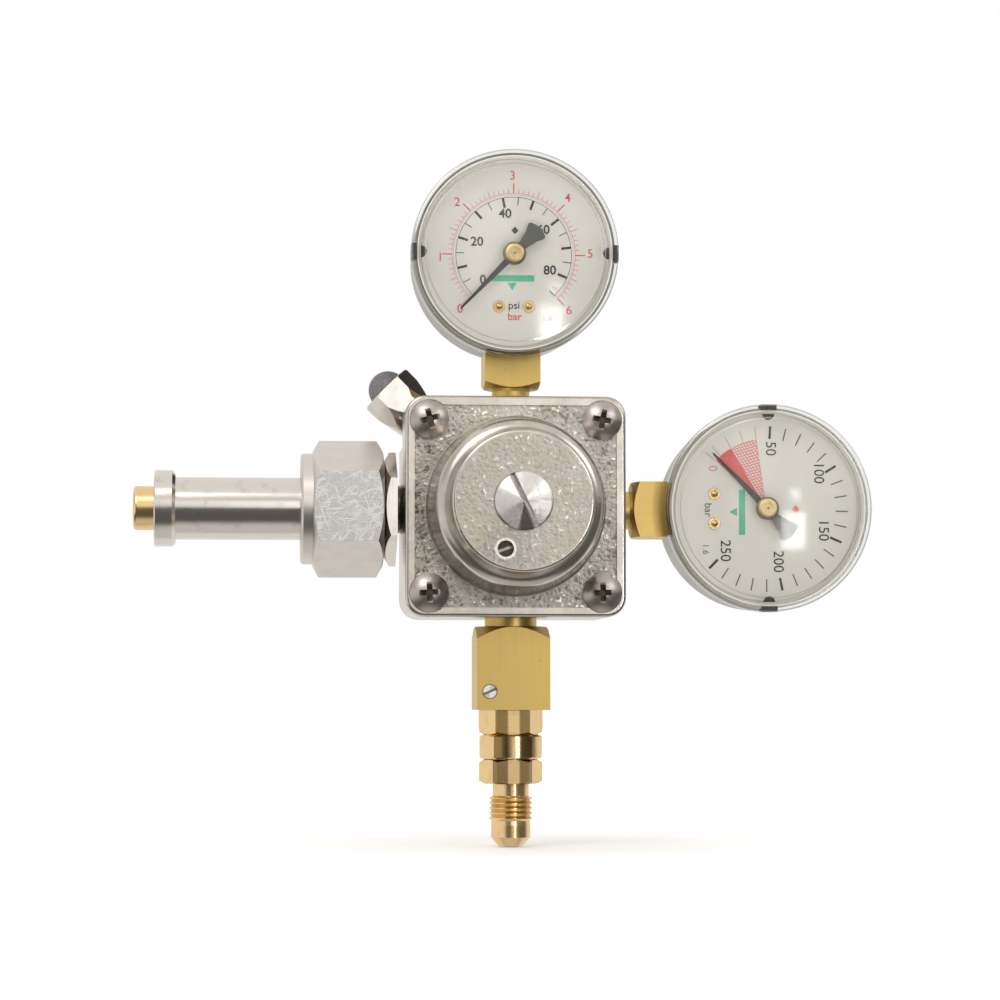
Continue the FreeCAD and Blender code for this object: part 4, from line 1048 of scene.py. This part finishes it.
def catchPiece():
    radius, depth = catchSizes["discRadius"] * mm, catchSizes["discDepth"] * mm
    bpy.ops.mesh.primitive_cylinder_add(vertices=40, radius=radius, depth=depth)
    disc = bpy.context.object
    disc.data.transform(Matrix.Rotation(math.pi / 2, 4, "X"))
    bpy.ops.object.mode_set(mode="EDIT")
    bpy.ops.mesh.select_all(action="SELECT")
    bpy.ops.mesh.bisect(plane_co=(0, 0, 0), plane_no=(1, 0, 0), use_fill=True, clear_outer=True)
    bpy.ops.object.mode_set(mode="OBJECT")
    disc.data.transform(Matrix.Translation((catchSizes["discAt"] * mm, catchSizes["discFront"] * mm, 0.0)))
    half, outer, lipBack = catchSizes["half"], catchSizes["outer"], catchSizes["lipBack"]
    lip = box((catchSizes["inner"], catchSizes["lipFront"], -half), (outer, lipBack, half))
    tab = box((catchSizes["step"], lipBack, -half), (outer, catchSizes["tabBack"], half))
    return joined("catch", [disc, lip, tab])


dark = dullSolid("catchBlack", rgb(0.028, 0.030, 0.028), 0.45)
master = catchPiece()
for prefix, gauge in gauges.items():
    for side, turnBy in (("Right", 0.0), ("Left", math.pi)):
        twin = copied(master, gauge["matrix"] @ Matrix.Rotation(turnBy, 4, "Y"))
        twin.name = prefix.replace("_gauge", "Catch") + side
        twin.data.materials.clear()
        twin.data.materials.append(dark)
        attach(twin, "valve_body")
dropped(master)
print("catches placed")

# Studio: a pale floor, a pale surround for the eye, and a soft room with bright panels for the reflections.
studio = {
    "floor": rgb(0.90, 0.90, 0.895),
    "floorPatch": rgb(0.88, 0.88, 0.88),
    "floorSize": 8.0,
    "floorGap": 0.0003,
    "glowFrom": (0.02, 0.30),
    "nearGlow": rgb(0.12, 0.12, 0.12),
    "farGlow": rgb(1.0, 1.0, 1.0),
    "pale": 1.0,
    "room": 0.13,
    "frontAbove": 0.72,
    "behind": 0.95,
    "above": 1.0,
    "below": 0.72,
    "left": 1.0,
    "strip": 1.9,
    "tint": rgb(1.0, 0.97, 0.935),
    "corner": 0.95,
    "cornerEdge": (0.935, 0.965),
}
valve = nodeCentre("body")
low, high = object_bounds()
bpy.ops.mesh.primitive_plane_add(size=studio["floorSize"], location=(0.0, 0.0, low[2] - studio["floorGap"]))
floor = applied(bpy.context.object)
floor.name = "floor"
floor.visible_glossy = False
paint = material("paleFloor")
where, spots = paint.place()
cloud = paint.noise(where, 3.0, 2.0)
colour = paint.blend(cloud * 0.1, studio["floor"], studio["floorPatch"])
reach = distance(paint, spots[0] - valve[0], spots[1])
glow = paint.blend(paint.step(reach, *studio["glowFrom"]), studio["nearGlow"], studio["farGlow"])
fixed = {"Emission Color": glow, "Emission Strength": 1.0}
floor.data.materials.append(paint.finish(paint.surface(colour, 0.8 + cloud * 0.1, 0.0, None, fixed)))

world = bpy.data.worlds.new("studio")
bpy.context.scene.world = world
paint = Paint(world)
direction = paint.wire("TexCoord", {}, {}, "Generated")
parts = paint.node("SeparateXYZ", {}, {0: direction})
dx, dy, dz = [Wire(paint, parts.outputs[k]) for k in range(3)]
room = studio["room"]
cornerFacing = dx * 0.58 + dy * 0.59 + dz * 0.56
corner = paint.step(cornerFacing, studio["cornerEdge"][0], studio["cornerEdge"][1]) * studio["corner"]
areas = [
    paint.step(dz, 0.06, 0.20) * (studio["frontAbove"] - room),
    paint.step(dy, -0.10, 0.40) * (studio["behind"] - room),
    paint.step(dz, 0.45, 0.75) * (studio["above"] - room),
    paint.step(dz, -0.72, -0.95) * (studio["below"] - room),
    paint.step(dx, -0.45, -0.70) * paint.step(abs(dz + 0.05), 0.45, 0.25) * (studio["left"] - room),
    paint.step(abs(dx - 0.09), 0.13, 0.07) * paint.step(abs(dz - 0.22), 0.27, 0.17) * (dy < 0.0)
    * (studio["strip"] - room),
]
light = areas[0]
for area in areas[1:]:
    light = paint.math("MAXIMUM", light, area)
eye = paint.wire("LightPath", {}, {}, "Is Camera Ray")
strength = (light + room) * (1.0 - corner)
lit = paint.wire("Background", {}, {"Color": studio["tint"], "Strength": strength}, "Background")
seen = paint.wire("Background", {}, {"Color": rgb(1.0, 1.0, 1.0), "Strength": studio["pale"]}, "Background")
paint.finish(paint.wire("MixShader", {}, {0: eye, 1: lit, 2: seen}, "Shader"))


def panel(name, place, target, size, power, colour=(1.0, 1.0, 1.0)):
    bpy.ops.object.light_add(type="AREA", location=place)
    lamp = bpy.context.object
    lamp.name = name
    lamp.data.shape = "RECTANGLE"
    lamp.data.size, lamp.data.size_y = size
    lamp.data.energy = power
    lamp.data.color = colour
    lamp.rotation_euler = (Vector(target) - Vector(place)).to_track_quat("-Z", "Y").to_euler()
    return lamp


panel("keyLight", (-0.35, -0.75, 0.75), valve, (0.6, 0.6), 3.9, (1.0, 0.98, 0.96))
panel("fillLight", (0.75, -0.6, 0.45), valve, (0.4, 0.4), 1.2, (0.97, 0.985, 1.0))
panel("windowLight", (0.318, -0.60, -0.030), (0.15, 0.0, 0.0), (0.068, 0.105), 0.40)
panel("smallWindow", (0.325, -0.60, 0.075), (0.15, 0.0, 0.0), (0.028, 0.028), 0.035)
print("studio done")

camera = {
    "azimuth": -4.68,
    "elevation": -3.69,
    "distance": 0.80,
    "target": Vector((0.08664, -0.008, 0.00202)),
    "lens": 114.47,
    "sensor": 36.0,
}
turn, lift = math.radians(camera["azimuth"]), math.radians(camera["elevation"])
back = Vector((math.sin(turn) * math.cos(lift), -math.cos(turn) * math.cos(lift), math.sin(lift)))
bpy.ops.object.camera_add(location=camera["target"] + back * camera["distance"])
viewer = bpy.context.object
viewer.name = "viewer"
viewer.rotation_mode = "QUATERNION"
viewer.rotation_quaternion = (-back).to_track_quat("-Z", "Y")
viewer.data.sensor_width = camera["sensor"]
viewer.data.lens = camera["lens"]
bpy.context.scene.camera = viewer
bpy.context.scene.view_settings.view_transform = "Standard"

print("scene ready")
